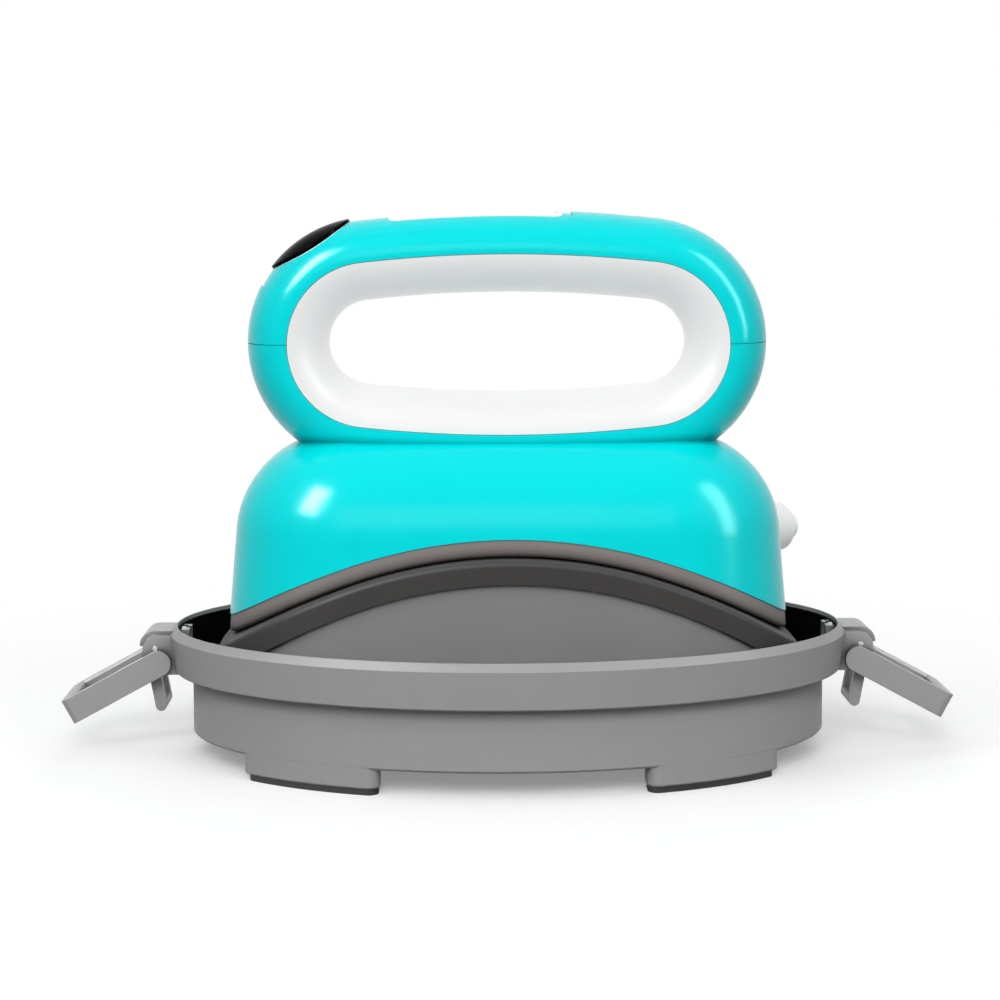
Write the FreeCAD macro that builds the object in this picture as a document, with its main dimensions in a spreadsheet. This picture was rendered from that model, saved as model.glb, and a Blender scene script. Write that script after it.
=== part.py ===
import FreeCAD, Part
import Sketcher
import math
import os
import re

from FreeCAD import Placement, Rotation, Vector

# Cap heat press on its safety base, in millimetres.
# The origin is on the table under the middle of the base. +X is to the right, -Y is the front, +Z is up.
# The press lifts off the arched stand, and each latch lever, bail and key moves on its own.

doc = FreeCAD.newDocument("cap_heat_press")
sheet = doc.addObject("Spreadsheet::Sheet", "Dimensions")

# Driving dimensions: alias and value
DIMENSIONS = [
    # Tray: an oval collar band over a narrower oval bowl on four legs
    ("channel_length", 16.0),
    ("channel_corner", 4.3),
    ("rim_height", 41.6),
    ("lip_height", 2.3),
    ("lip_inset", 2.0),
    ("band_height", 11.7),
    ("band_draft", 1.5),
    ("band_edge", 0.4),
    ("bowl_inset", 7.1),
    ("bowl_bottom", 7.8),
    ("bowl_edge", 0.7),
    ("tray_wall", 2.4),
    ("liner_wall", 1.0),
    ("liner_drop", 1.2),
    ("leg_step", 0.05),
    ("leg_setback", 26.6),
    ("leg_length", 41.8),
    ("leg_width", 11.5),
    ("leg_corner", 3.5),
    ("leg_edge", 0.8),
    ("foot_height", 1.8),
    ("foot_margin", 0.5),
    ("foot_end", 1.6),
    # Stand: an arched block with a heat-proof pad over it
    ("arch_radius", 150.0),
    ("arch_apex", 67.5),
    ("pad_beyond_length", 2.8),
    ("pad_beyond_width", 3.0),
    ("pad_beyond_corner", 2.0),
    ("pad_thickness", 7.0),
    ("pad_edge", 1.5),
    ("pad_overhang", 1.6),
    ("stand_screw_inset_x", 26.0),
    ("stand_screw_inset_y", 23.0),
    ("stand_screw_length", 12.0),
    # Press body: a tapered dome over an arched heat plate
    ("body_length", 178.4),
    ("body_width", 88.0),
    ("body_corner", 40.0),
    ("body_lift", 0.4),
    ("body_rise", 35.0),
    ("body_draft", 5.0),
    ("body_round", 32.0),
    ("body_wall", 2.4),
    ("plate_gap", 0.3),
    ("plate_inset_length", 6.7),
    ("plate_inset_width", 9.5),
    ("plate_inset_corner", 6.0),
    ("plate_thickness", 8.0),
    ("plate_reveal", 0.3),
    ("plate_clearance", 0.6),
    ("plate_screw_inset", 3.0),
    ("plate_screw_grip", 5.0),
    ("skirt_height", 5.3),
    ("skirt_inset", 0.4),
    ("skirt_edge", 1.1),
    ("ledge_thickness", 2.6),
    ("ledge_width", 5.4),
    ("stack_inset", 6.0),
    ("element_thickness", 1.4),
    ("insulation_thickness", 5.0),
    ("reflector_thickness", 0.8),
    ("sensor_diameter", 8.0),
    ("sensor_relief", 0.3),
    ("fuse_diameter", 4.0),
    ("fuse_length", 14.0),
    ("fuse_angle", 12.0),
    ("fuse_gap", 0.1),
    ("pocket_clearance", 0.2),
    ("body_screw_turn", 17.7),
    ("body_screw_inset", 5.4),
    ("body_screw_cover", 4.6),
    ("body_screw_length", 12.0),
    ("body_boss", 6.0),
    ("body_boss_height", 16.0),
    ("body_boss_lead", 2.0),
    # Cord gland at the rear right corner
    ("gland_turn", 40.0),
    ("gland_gap", 1.9),
    ("gland_root", 6.0),
    ("gland_base", 22.6),
    ("gland_mouth", 16.4),
    ("gland_length", 19.0),
    ("gland_edge", 1.2),
    ("nose_diameter", 10.6),
    ("nose_length", 5.0),
    ("spigot_diameter", 12.0),
    ("spigot_end", 1.5),
    ("gland_bore", 6.8),
    # Handle: a hollow ring of oval section on an oval path
    ("handle_inset", 6.9),
    ("handle_sink", 12.6),
    ("handle_height", 83.2),
    ("handle_end", 39.2),
    ("handle_width", 40.0),
    ("handle_section", 25.8),
    ("handle_wall", 2.2),
    ("grip_offset", 0.6),
    ("seam_gap", 0.2),
    ("neck_floor", 3.0),
    ("neck_screw_out", 1.6),
    ("neck_screw_pitch", 26.0),
    ("neck_screw_length", 10.0),
    ("neck_boss_height", 9.0),
    ("boss_diameter", 7.0),
    # Display lens and key panel in a shallow deck on the crown of the handle
    ("deck_sink", 0.6),
    ("deck_width", 33.6),
    ("deck_corner", 9.0),
    ("deck_low", 18.0),
    ("deck_beyond_panel", 3.0),
    ("lens_angle", 31.5),
    ("lens_diameter", 28.6),
    ("lens_rise", 0.4),
    ("lens_depth", 1.8),
    ("lens_clearance", 0.15),
    ("panel_setback", 5.6),
    ("panel_length", 54.8),
    ("panel_width", 17.4),
    ("panel_corner", 3.0),
    ("panel_thickness", 1.6),
    ("key_lead", 19.2),
    ("key_pitch", 13.9),
    ("key_length", 12.4),
    ("key_width", 9.4),
    ("key_corner", 2.0),
    ("key_clearance", 0.2),
    ("key_rise", 0.5),
    ("key_height", 4.6),
    ("key_flange", 0.5),
    ("key_flange_thickness", 1.0),
    ("key_travel", 1.0),
    # Boards and what they carry
    ("board_thickness", 1.6),
    ("key_board_lead", 4.8),
    ("key_board_length", 49.0),
    ("key_board_rise", 1.7),
    ("key_board_margin", 0.8),
    ("switch_size", 6.0),
    ("switch_gap", 0.3),
    ("plunger_diameter", 3.4),
    ("plunger_height", 1.2),
    ("buzzer_lead", 12.8),
    ("buzzer_diameter", 12.0),
    ("buzzer_height", 4.5),
    ("display_rise", 2.9),
    ("display_margin", 1.3),
    ("display_can_length", 16.0),
    ("display_can_width", 12.0),
    ("display_can_height", 3.0),
    ("power_drop", 17.9),
    ("power_setback", 27.2),
    ("power_length", 48.0),
    ("power_width", 38.0),
    ("power_screw_inset", 4.0),
    ("power_screw_length", 7.0),
    ("power_boss_height", 20.0),
    ("relay_length", 19.0),
    ("relay_width", 15.0),
    ("relay_height", 10.0),
    ("transformer_length", 22.0),
    ("transformer_width", 12.0),
    ("transformer_height", 9.0),
    ("terminal_length", 10.0),
    ("terminal_width", 16.0),
    ("terminal_height", 8.0),
    ("terminal_pitch", 5.0),
    ("terminal_well", 3.6),
    ("part_margin", 2.0),
    # Latches at the two ends of the rim
    ("hinge_out", 2.7),
    ("hinge_drop", 10.6),
    ("hinge_pin", 3.0),
    ("hinge_clearance", 0.05),
    ("pin_beyond", 1.7),
    ("bracket_width", 23.0),
    ("bracket_back", 2.8),
    ("bracket_foot", 2.8),
    ("hood_reach", 6.4),
    ("hood_rise", 9.4),
    ("hood_width", 16.0),
    ("hood_thickness", 4.8),
    ("hood_round", 4.6),
    ("ear_reach", 5.1),
    ("ear_rise", 8.2),
    ("ear_foot", 4.0),
    ("ear_round", 4.2),
    ("stop_diameter", 1.6),
    ("stop_across", 1.1),
    ("stop_up", 4.4),
    ("stop_beyond", 0.1),
    ("lever_droop", 28.5),
    ("lever_length", 32.8),
    ("lever_height", 8.1),
    ("lever_clearance", 0.35),
    ("cheek_thickness", 2.45),
    ("lever_end", 3.8),
    ("lever_corner", 2.5),
    ("lever_chamfer", 0.8),
    ("bail_clearance", 0.3),
    ("bail_leg", 2.7),
    ("bail_depth", 3.5),
    ("bail_eye", 5.0),
    ("bail_top_out", 2.0),
    ("bail_top_down", 3.4),
    ("bail_bottom_in", 0.1),
    ("bail_bottom_down", 14.6),
    ("tab_reach", 2.7),
    ("tab_width", 10.6),
    ("tab_wall", 1.0),
    ("tab_drop", 1.3),
    ("tab_height", 6.4),
    ("latch_screw_drop", 3.6),
    ("latch_screw_length", 10.0),
    # Screws
    ("screw_diameter", 3.0),
    ("small_screw", 2.5),
    ("screw_head", 5.0),
    ("screw_head_height", 2.0),
    ("screw_clearance", 0.1),
]

# Sizes that follow from the driving dimensions: each may use the ones above it
DERIVED = {
    # The pad is a little larger than the press, and the oval bowl leaves a channel for a cap round it
    "arch_axis": "D.arch_apex - D.arch_radius",
    "pad_length": "D.body_length + 2 * D.pad_beyond_length",
    "pad_width": "D.body_width + 2 * D.pad_beyond_width",
    "pad_corner": "D.body_corner + D.pad_beyond_corner",
    "stand_screw_x": "D.pad_length / 2 - D.stand_screw_inset_x",
    "stand_screw_y": "D.pad_width / 2 - D.stand_screw_inset_y",
    "rim_length": "D.pad_length + 2 * D.channel_length",
    "liner_inset": "D.bowl_inset + D.tray_wall + D.liner_wall",
    "pad_corner_x": "D.pad_length / 2 - D.pad_corner * (1 - sqrt(0.5))",
    "pad_corner_y": "D.pad_width / 2 - D.pad_corner * (1 - sqrt(0.5))",
    "corner_share": "D.pad_corner_x / (D.rim_length / 2 - D.liner_inset)",
    "bowl_half_width": "D.pad_corner_y / sqrt(1 - (D.corner_share) ^ 2) + D.channel_corner",
    "rim_width": "2 * (D.bowl_half_width + D.liner_inset)",
    "leg_inset": "D.bowl_inset + D.leg_step",
    "leg_far": "D.rim_length / 2 - D.leg_setback",
    "leg_near": "D.leg_far - D.leg_length",
    # The press stands on the arch, and its plate, gland and handle go with it
    "body_base": "D.arch_axis + sqrt(D.arch_radius ^ 2 - D.body_length ^ 2 / 4) + D.body_lift",
    "body_top": "D.arch_apex + D.body_rise",
    "plate_length": "D.body_length - 2 * D.plate_inset_length",
    "plate_width": "D.body_width - 2 * D.plate_inset_width",
    "plate_corner": "D.body_corner - D.plate_inset_corner",
    "body_screw_reach": "D.body_corner - D.body_screw_inset",
    "shell_edge": "D.arch_radius + D.plate_gap + D.plate_reveal + D.skirt_height",
    "gland_x": "D.body_length / 2 - D.body_corner * (1 - cos(D.gland_turn))",
    "gland_radius": "D.shell_edge + D.gland_base / 2 + D.gland_gap",
    "gland_height": "D.arch_axis + sqrt((D.gland_radius) ^ 2 - (D.gland_x) ^ 2)",
    "handle_length": "D.body_length - 2 * D.handle_inset",
    "handle_centre": "D.body_top - D.handle_sink + D.handle_height / 2",
    "end_x": "D.handle_length / 2 - D.handle_end",
    "crown": "D.handle_centre + D.handle_height / 2",
    "crown_rise": "D.handle_height / 2 - D.handle_end",
    "crown_radius": "(D.end_x ^ 2 + (D.handle_height / 2) ^ 2 - D.handle_end ^ 2) / (2 * D.crown_rise)",
    "grip_inset": "D.handle_section / 2 + D.grip_offset",
    "neck_screw_far": "D.end_x + D.neck_screw_out",
    "neck_screw_near": "D.neck_screw_far - D.neck_screw_pitch",
    # The panel starts beside the lens, and the keys and their board are placed from its left end
    "panel_left": "D.end_x - D.panel_setback",
    "panel_right": "D.panel_length - D.panel_left",
    "key_first": "D.key_lead - D.panel_left",
    "power_far": "D.body_length / 2 - D.power_setback",
    "power_near": "D.power_far - D.power_length",
    # The latches hang on the rim, and the lever and the bail turn inside and outside the bracket
    "hinge_reach": "D.rim_length / 2 + D.hinge_out",
    "hinge_height": "D.rim_height - D.hinge_drop",
    "hood_top": "D.hinge_height + D.hood_rise",
    "ear_top": "D.hinge_height + D.ear_rise",
    "ear_bottom": "D.hinge_height - D.ear_foot",
    "bracket_bottom": "D.hinge_height - D.bracket_foot",
    "pin_reach": "D.bracket_width / 2 + D.pin_beyond",
    "lever_width": "D.bracket_width + 2 * D.lever_clearance + 2 * D.cheek_thickness",
    "bail_width": "D.hood_width - 2 * D.bail_clearance",
}

for row, (alias, value) in enumerate(DIMENSIONS, start=1):
    sheet.set("A%d" % row, alias)
    sheet.set("B%d" % row, str(value))
    sheet.setAlias("B%d" % row, alias)
doc.recompute()

gauge = doc.addObject("App::FeaturePython", "Gauge")
gauge.addProperty("App::PropertyFloat", "Reading")
sub_parts = []


def spelled(expression):
    """An expression in which D. stands for the sheet, with every worked-out size written out."""
    for name, formula in reversed(DERIVED.items()):
        expression = re.sub(r"\bD\.%s\b" % name, "(%s)" % formula, expression)
    return expression.replace("D.", "Dimensions.")


def measure(expression):
    """The present value of an expression."""
    gauge.setExpression("Reading", spelled(expression))
    gauge.recompute()
    return gauge.Reading


def bind(thing, **expressions):
    """Bind properties to expressions, where two underlines stand for a full stop."""
    for name, expression in expressions.items():
        thing.setExpression(name.replace("__", "."), spelled(expression))
    return thing


def keep(thing, label):
    """Give a finished sub-part the label that names its file."""
    thing.Label = label
    sub_parts.append(thing)
    return thing


def add(kind, name, **properties):
    """A document object with its properties set."""
    thing = doc.addObject(kind, name)
    for key, value in properties.items():
        setattr(thing, key, value)
    return thing


def cut(name, base, *tools):
    """The base with every tool taken out of it."""
    for index, tool in enumerate(tools):
        base = add("Part::Cut", "%s_%d" % (name, index), Base=base, Tool=tool)
    return base


def common(name, base, tool):
    return add("Part::Common", name, Base=base, Tool=tool)


def fuse(name, *shapes):
    return add("Part::MultiFuse", name, Shapes=list(shapes))


def group(name, shapes):
    """Separate solids that share one node."""
    return add("Part::Compound", name, Links=list(shapes))


def mirrored(name, source):
    """The same piece on the other side of the middle plane."""
    return add("Part::Mirroring", name, Source=source, Normal=Vector(1, 0, 0))


UPRIGHT = Rotation(Vector(1, 0, 0), 90)
REACH = "D.rim_width * 1.4"


def cylinder(name, radius, height, rotation=Rotation(), **place):
    """A cylinder whose base is at the given x, y and z, along the turned Z axis."""
    thing = add("Part::Cylinder", name, Placement=Placement(Vector(), rotation))
    bind(thing, Radius=radius, Height=height)
    return move(thing, **place)


def move(thing, **place):
    for axis, expression in place.items():
        bind(thing, **{"Placement__Base__" + axis: expression})
    return thing


def cross_cylinder(name, radius, x, z, half="%s / 2" % REACH):
    """A cylinder along Y, as long on both sides of the middle plane."""
    return cylinder(name, radius, "2 * (%s)" % half, UPRIGHT, x=x, y=half, z=z)


def box(name, x, y, z):
    """A box between pairs of coordinates."""
    thing = doc.addObject("Part::Box", name)
    spans = ["(%s) - (%s)" % (high, low) for low, high in (x, y, z)]
    bind(thing, Length=spans[0], Width=spans[1], Height=spans[2])
    return move(thing, x=x[0], y=y[0], z=z[0])


def extrude(name, profile, length, both=False):
    """A prism along the profile's normal, or to both sides of it."""
    thing = add("Part::Extrusion", name, Base=profile, DirMode="Normal", Solid=True, Symmetric=both)
    return bind(thing, LengthFwd=length)


def constrain(sketch, kind, *values, drive=None):
    """One constraint of a sketch, driven by an expression where it has a size."""
    if drive:
        values = values + (measure(drive),)
    index = sketch.addConstraint(Sketcher.Constraint(kind, *values))
    if drive:
        sketch.setExpression("Constraints[%d]" % index, spelled(drive))


def draw_rounded_rectangle(sketch, length, width, corner):
    """Four arcs and four lines that touch them, about the sketch's origin."""
    radius = measure(corner)
    reach_x = measure(length) / 2 - radius
    reach_y = measure(width) / 2 - radius
    arcs = []
    for sign_x, sign_y, start in ((1, -1, 270), (1, 1, 0), (-1, 1, 90), (-1, -1, 180)):
        circle = Part.Circle(Vector(sign_x * reach_x, sign_y * reach_y, 0), Vector(0, 0, 1), radius)
        first = math.radians(start)
        arcs.append(sketch.addGeometry(Part.ArcOfCircle(circle, first, first + math.pi / 2)))
    lines = []
    for index in range(4):
        start = sketch.getPoint(arcs[index], 2)
        end = sketch.getPoint(arcs[(index + 1) % 4], 1)
        lines.append(sketch.addGeometry(Part.LineSegment(start, end)))
    for index in range(4):
        constrain(sketch, "Tangent", arcs[index], 2, lines[index], 1)
        constrain(sketch, "Tangent", lines[index], 2, arcs[(index + 1) % 4], 1)
        if index:
            constrain(sketch, "Equal", arcs[0], arcs[index])
    constrain(sketch, "Vertical", lines[0])
    constrain(sketch, "Horizontal", lines[1])
    constrain(sketch, "Symmetric", arcs[0], 3, arcs[2], 3, -1, 1)
    constrain(sketch, "DistanceX", lines[2], 1, lines[0], 1, drive=length)
    constrain(sketch, "DistanceY", lines[3], 1, lines[1], 1, drive=width)
    constrain(sketch, "Radius", arcs[0], drive=corner)


def plan_prism(name, length, width, corner, z, x="0", y="0"):
    """An upright prism on a rectangle with round corners, between two heights."""
    profile = doc.addObject("Sketcher::SketchObject", name + "Plan")
    draw_rounded_rectangle(profile, length, width, corner)
    move(profile, x=x, y=y, z=z[0])
    return extrude(name, profile, "(%s) - (%s)" % (z[1], z[0]))


def side_prism(name, x, z, corner, half):
    """A prism along Y on a rectangle with round corners that is seen from the front."""
    profile = add("Sketcher::SketchObject", name + "Outline", Placement=Placement(Vector(), UPRIGHT))
    draw_rounded_rectangle(profile, "(%s) - (%s)" % (x[1], x[0]), "(%s) - (%s)" % (z[1], z[0]), corner)
    move(profile, x="((%s) + (%s)) / 2" % x, z="((%s) + (%s)) / 2" % z)
    return extrude(name, profile, "2 * (%s)" % half, both=True)


# Tray: ruled lofts between ovals that share the rim's centre

LIP = "D.rim_height - D.lip_height"
LEDGE = "D.rim_height - D.lip_height - D.band_height"
FLOOR = "D.bowl_bottom + D.tray_wall"
LINER_WALL = "(D.tray_wall + D.liner_wall)"
LINER_FLOOR = "D.bowl_bottom + D.tray_wall + D.liner_wall"


def oval_form(name, levels):
    """A solid through ovals, each given by its inset from the rim and its height."""
    sections = []
    for index, (inset, height) in enumerate(levels):
        section = doc.addObject("Part::Ellipse", "%s%d" % (name, index))
        bind(section, MajorRadius="D.rim_length / 2 - (%s)" % inset)
        bind(section, MinorRadius="D.rim_width / 2 - (%s)" % inset)
        sections.append(move(section, z=height))
    return add("Part::Loft", name, Sections=sections, Solid=True, Ruled=True)


def tray_form(name, wall, rim):
    """The tray's outside, or with a wall's thickness the space inside it."""
    bowl = oval_form(name + "Bowl", [
        ("D.bowl_inset + D.bowl_edge + " + wall, "D.bowl_bottom + " + wall),
        ("D.bowl_inset + " + wall, "D.bowl_bottom + D.bowl_edge + " + wall),
        ("D.bowl_inset + " + wall, LEDGE + " + " + wall),
    ])
    band = oval_form(name + "Band", rim)
    return fuse(name, bowl, band)


def tray_space(name, wall):
    """The space inside the tray at one wall's depth, open at the top."""
    return tray_form(name, wall, [
        ("D.band_draft + " + wall, LEDGE + " + " + wall),
        (wall, LIP),
        (wall, "D.rim_height + 1"),
    ])


outside = tray_form("TrayOutside", "0", [
    ("D.band_draft + D.band_edge", LEDGE),
    ("D.band_draft * (1 - D.band_edge / D.band_height)", LEDGE + " + D.band_edge"),
    ("0", LIP),
    ("D.lip_inset", "D.rim_height"),
])
tray_inside = tray_space("TrayInside", "D.tray_wall")
liner_inside = tray_space("LinerInside", LINER_WALL)


def rounded(name, source, radius, test):
    """The source with a round on each edge that passes the test."""
    doc.recompute()
    thing = add("Part::Fillet", name, Base=source)
    size = measure(radius)
    edges = enumerate(source.Shape.Edges, start=1)
    thing.Edges = [(index, size, size) for index, edge in edges if test(edge)]
    return thing


def upright_edge(edge):
    return edge.BoundBox.ZLength > 1 and max(edge.BoundBox.XLength, edge.BoundBox.YLength) < 0.01


def at_height(height):
    """A test for edges that lie flat at one height."""
    wanted = measure(height)

    def test(edge):
        return abs(edge.BoundBox.ZMin - wanted) < 0.01 and abs(edge.BoundBox.ZMax - wanted) < 0.01

    return test


def leg_form(name, margin, end_margin, corner, z):
    """Four blocks cut from an oval ring under the bowl, with round corners."""
    near = "D.leg_inset + " + margin
    far = "D.leg_inset + D.leg_width - " + margin
    outer = oval_form(name + "Outer", [(near, z[0]), (near, z[1])])
    inner = oval_form(name + "Inner", [(far, z[0]), (far, z[1])])
    low = "(D.leg_near + %s)" % margin
    high = "(D.leg_far - %s)" % end_margin
    across = ("-D.rim_width", "D.rim_width")
    height = ("%s - 1" % z[0], "%s + 1" % z[1])
    right = box(name + "Right", (low, high), across, height)
    left = box(name + "Left", ("-" + high, "-" + low), across, height)
    blocks = common(name + "Blocks", cut(name + "Ring", outer, inner), fuse(name + "Spans", right, left))
    return rounded(name + "Corners", blocks, corner, upright_edge)


leg_levels = ("D.foot_height", "D.bowl_bottom + D.tray_wall / 2")
leg_blocks = leg_form("Leg", "0", "0", "D.leg_corner", leg_levels)
legs = rounded("Legs", leg_blocks, "D.leg_edge", at_height("D.foot_height"))
foot_corner = "D.leg_corner - D.foot_margin"
keep(leg_form("Foot", "D.foot_margin", "D.foot_end", foot_corner, ("0", "D.foot_height")), "foot_pads")


def screw(name, length, place, diameter="D.screw_diameter"):
    """A pan-head screw: its head's underside is at the place, and its shank follows the turned Z axis."""
    shank = cylinder(name + "Shank", diameter + " / 2", length)
    head = cylinder(name + "Head", "D.screw_head / 2", "D.screw_head_height", z="-D.screw_head_height")
    thing = fuse(name, shank, head)
    thing.Placement = place
    return thing


def screw_hole(name, length, place, diameter="D.screw_diameter"):
    """The hole round a screw's shank and the room for its head."""
    shank_radius = "%s / 2 + D.screw_clearance" % diameter
    shank = cylinder(name + "Shank", shank_radius, "%s + D.screw_clearance" % length)
    head = cylinder(
        name + "Head",
        "D.screw_head / 2 + D.screw_clearance",
        "D.screw_head_height * 4",
        z="-D.screw_head_height * 4",
    )
    thing = fuse(name, shank, head)
    thing.Placement = place
    return thing


def screws_and_holes(name, length, places, diameter="D.screw_diameter"):
    """A set of like screws, and the tool that makes room for them."""
    screws = [screw("%s%d" % (name, index), length, place, diameter) for index, place in enumerate(places)]
    holes = [
        screw_hole("%sHole%d" % (name, index), length, place, diameter)
        for index, place in enumerate(places)
    ]
    if len(places) == 1:
        return screws[0], holes[0]
    return group(name + "Set", screws), fuse(name + "Holes", *holes)


def four_places(x, y, z, rotation=Rotation()):
    return [Placement(Vector(sx * x, sy * y, z), rotation) for sx in (1, -1) for sy in (1, -1)]


stand_places = four_places(measure("D.stand_screw_x"), measure("D.stand_screw_y"), measure("D.bowl_bottom"))
stand_screws, stand_holes = screws_and_holes("StandScrew", "D.stand_screw_length", stand_places)
keep(stand_screws, "stand_screws")

# Stand: slabs between cylinders along Y that share the arch's axis, inside an upright prism

STAND_TOP = "D.arch_radius - D.pad_thickness"


def arch_cylinder(name, radius):
    return cross_cylinder(name, radius, "0", "D.arch_axis")


def arch_slab(name, form, inner, outer):
    """The part of a form that lies between two radii of the arch."""
    below = common(name + "Below", form, arch_cylinder(name + "Outer", outer))
    return cut(name, below, arch_cylinder(name + "Inner", inner))


pad_prism = plan_prism(
    "PadPrism", "D.pad_length", "D.pad_width", "D.pad_corner", (LINER_FLOOR, "D.arch_apex + 1")
)
stand_prism = plan_prism(
    "StandPrism",
    "D.pad_length - 2 * D.pad_overhang",
    "D.pad_width - 2 * D.pad_overhang",
    "D.pad_corner - D.pad_overhang",
    (LINER_FLOOR, "D.arch_apex"),
)
pad_slab = arch_slab("PadSlab", pad_prism, STAND_TOP, "D.arch_radius")


def on_arch(radius):
    """A test for edges whose every point is at one radius from the arch's axis."""
    wanted = measure(radius)
    centre = measure("D.arch_axis")

    def test(edge):
        points = edge.discretize(5)
        return all(abs(math.hypot(point.x, point.z - centre) - wanted) < 0.01 for point in points)

    return test


keep(rounded("StandPad", pad_slab, "D.pad_edge", on_arch("D.arch_radius")), "stand_pad")
stand_block = common("StandBlock", stand_prism, arch_cylinder("StandArch", STAND_TOP))
keep(cut("StandDome", stand_block, stand_holes), "stand_dome")

# Latches: the right one is drawn, and the left one is its mirror image

PIVOT_X = "D.hinge_reach"
PIVOT_Z = "D.hinge_height"
HOOD_X = "(D.hinge_reach + D.hood_reach)"
EAR_X = "(D.hinge_reach + D.ear_reach)"
BACK_X = "(D.hinge_reach - D.bracket_back)"
INWARD_X = "(D.rim_length / 2 - D.bowl_inset)"
EAR_HALF = "D.bracket_width / 2"
HOOD_HALF = "D.hood_width / 2"

ear_block = side_prism("EarBlock", (INWARD_X, EAR_X), ("D.ear_bottom", "D.ear_top"), "D.ear_round", EAR_HALF)
ear_space_x = (INWARD_X + " - 1", EAR_X + " + 1")
ear_space = box("EarSpace", ear_space_x, ("-" + HOOD_HALF, HOOD_HALF), ("0", "D.rim_height"))
ears = cut("Ears", ear_block, ear_space)
hood_block = side_prism(
    "HoodBlock",
    (INWARD_X, HOOD_X),
    ("D.hood_top - 2 * D.hood_thickness", "D.hood_top"),
    "D.hood_round",
    HOOD_HALF,
)
hood_under = box(
    "HoodUnder",
    (INWARD_X + " - 1", HOOD_X + " + 1"),
    ("-D.hood_width", "D.hood_width"),
    ("0", "D.hood_top - D.hood_thickness"),
)
hood = cut("Hood", hood_block, hood_under)
back = box("Back", (INWARD_X, BACK_X), ("-" + EAR_HALF, EAR_HALF), ("D.bracket_bottom", "D.ear_top"))
pin_hole = cross_cylinder("PinHole", "D.hinge_pin / 2", PIVOT_X, PIVOT_Z, "D.pin_reach")
pin = cross_cylinder("Pin", "D.hinge_pin / 2", PIVOT_X, PIVOT_Z, "D.pin_reach")
STOP = ("D.hinge_reach + D.stop_across", "D.hinge_height + D.stop_up", EAR_HALF + " + D.stop_beyond")
stop_hole = cross_cylinder("StopHole", "D.stop_diameter / 2", *STOP)
stop = cross_cylinder("Stop", "D.stop_diameter / 2", *STOP)

# One screw holds each bracket from inside the rim, with its head in the clamp tab
SCREW_Z = "(D.rim_height - D.latch_screw_drop)"
WALL_LEAN = "D.band_draft * (%s - %s) / D.band_height" % (LIP, SCREW_Z)
TAB_X = "(D.rim_length / 2 - %s - %s)" % (LINER_WALL, WALL_LEAN)
tab_block = box(
    "TabBlock",
    (TAB_X + " - D.tab_reach", TAB_X + " + 1"),
    ("-D.tab_width / 2", "D.tab_width / 2"),
    ("D.rim_height - D.tab_drop - D.tab_height", "D.rim_height - D.tab_drop"),
)
tab_pocket = box(
    "TabPocket",
    (TAB_X + " - D.tab_reach + D.tab_wall", TAB_X + " + 2"),
    ("-D.tab_width / 2 + D.tab_wall", "D.tab_width / 2 - D.tab_wall"),
    ("D.rim_height - D.tab_drop - D.tab_height + D.tab_wall", "D.rim_height"),
)
latch_place = Placement(Vector(measure(TAB_X), 0, measure(SCREW_Z)), Rotation(Vector(0, 1, 0), 90))
latch_screw, latch_hole = screws_and_holes("LatchScrew", "D.latch_screw_length", [latch_place])
bracket_raw = fuse("BracketRaw", ears, hood, back)
bracket = cut("Bracket", bracket_raw, latch_hole, pin_hole, stop_hole, outside)
clamp = common("Clamp", cut("ClampTab", tab_block, tab_pocket, latch_hole), liner_inside)

# Lever: a body in its own frame, with X along it from the pivot, turned down by its droop


def origin_plane(body, role):
    return next(plane for plane in body.Origin.OriginFeatures if plane.Role == role)


def body_sketch(body, name, role):
    sketch = body.newObject("Sketcher::SketchObject", name)
    sketch.AttachmentSupport = (origin_plane(body, role), [""])
    sketch.MapMode = "FlatFace"
    return sketch


lever = doc.addObject("PartDesign::Body", "Lever")
lever_side = body_sketch(lever, "LeverSide", "XZ_Plane")
half_height = measure("D.lever_height / 2")
length = measure("D.lever_length")
top = lever_side.addGeometry(Part.LineSegment(Vector(length, half_height, 0), Vector(0, half_height, 0)))
eye_circle = Part.Circle(Vector(), Vector(0, 0, 1), half_height)
eye = lever_side.addGeometry(Part.ArcOfCircle(eye_circle, math.pi / 2, 3 * math.pi / 2))
under = lever_side.addGeometry(Part.LineSegment(Vector(0, -half_height, 0), Vector(length, -half_height, 0)))
tip_line = Part.LineSegment(Vector(length, -half_height, 0), Vector(length, half_height, 0))
tip = lever_side.addGeometry(tip_line)
constrain(lever_side, "Tangent", top, 2, eye, 1)
constrain(lever_side, "Tangent", eye, 2, under, 1)
constrain(lever_side, "Coincident", under, 2, tip, 1)
constrain(lever_side, "Coincident", tip, 2, top, 1)
constrain(lever_side, "Vertical", tip)
constrain(lever_side, "Horizontal", top)
constrain(lever_side, "Coincident", eye, 3, -1, 1)
constrain(lever_side, "Radius", eye, drive="D.lever_height / 2")
constrain(lever_side, "DistanceX", -1, 1, tip, 1, drive="D.lever_length")
lever_pad = lever.newObject("PartDesign::Pad", "LeverPad")
lever_pad.Profile = lever_side
lever_pad.Midplane = True
bind(lever_pad, Length="D.lever_width")
doc.recompute()


def corner_edges(feature, test):
    """The names of a feature's edges that pass a test."""
    return ["Edge%d" % index for index, edge in enumerate(feature.Shape.Edges, start=1) if test(edge)]


def at_tip_corner(edge):
    centre = edge.CenterOfMass
    upright_edge = abs(edge.BoundBox.ZLength - 2 * half_height) < 0.01 and edge.BoundBox.XLength < 0.01
    return upright_edge and abs(centre.x - length) < 0.01


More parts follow.
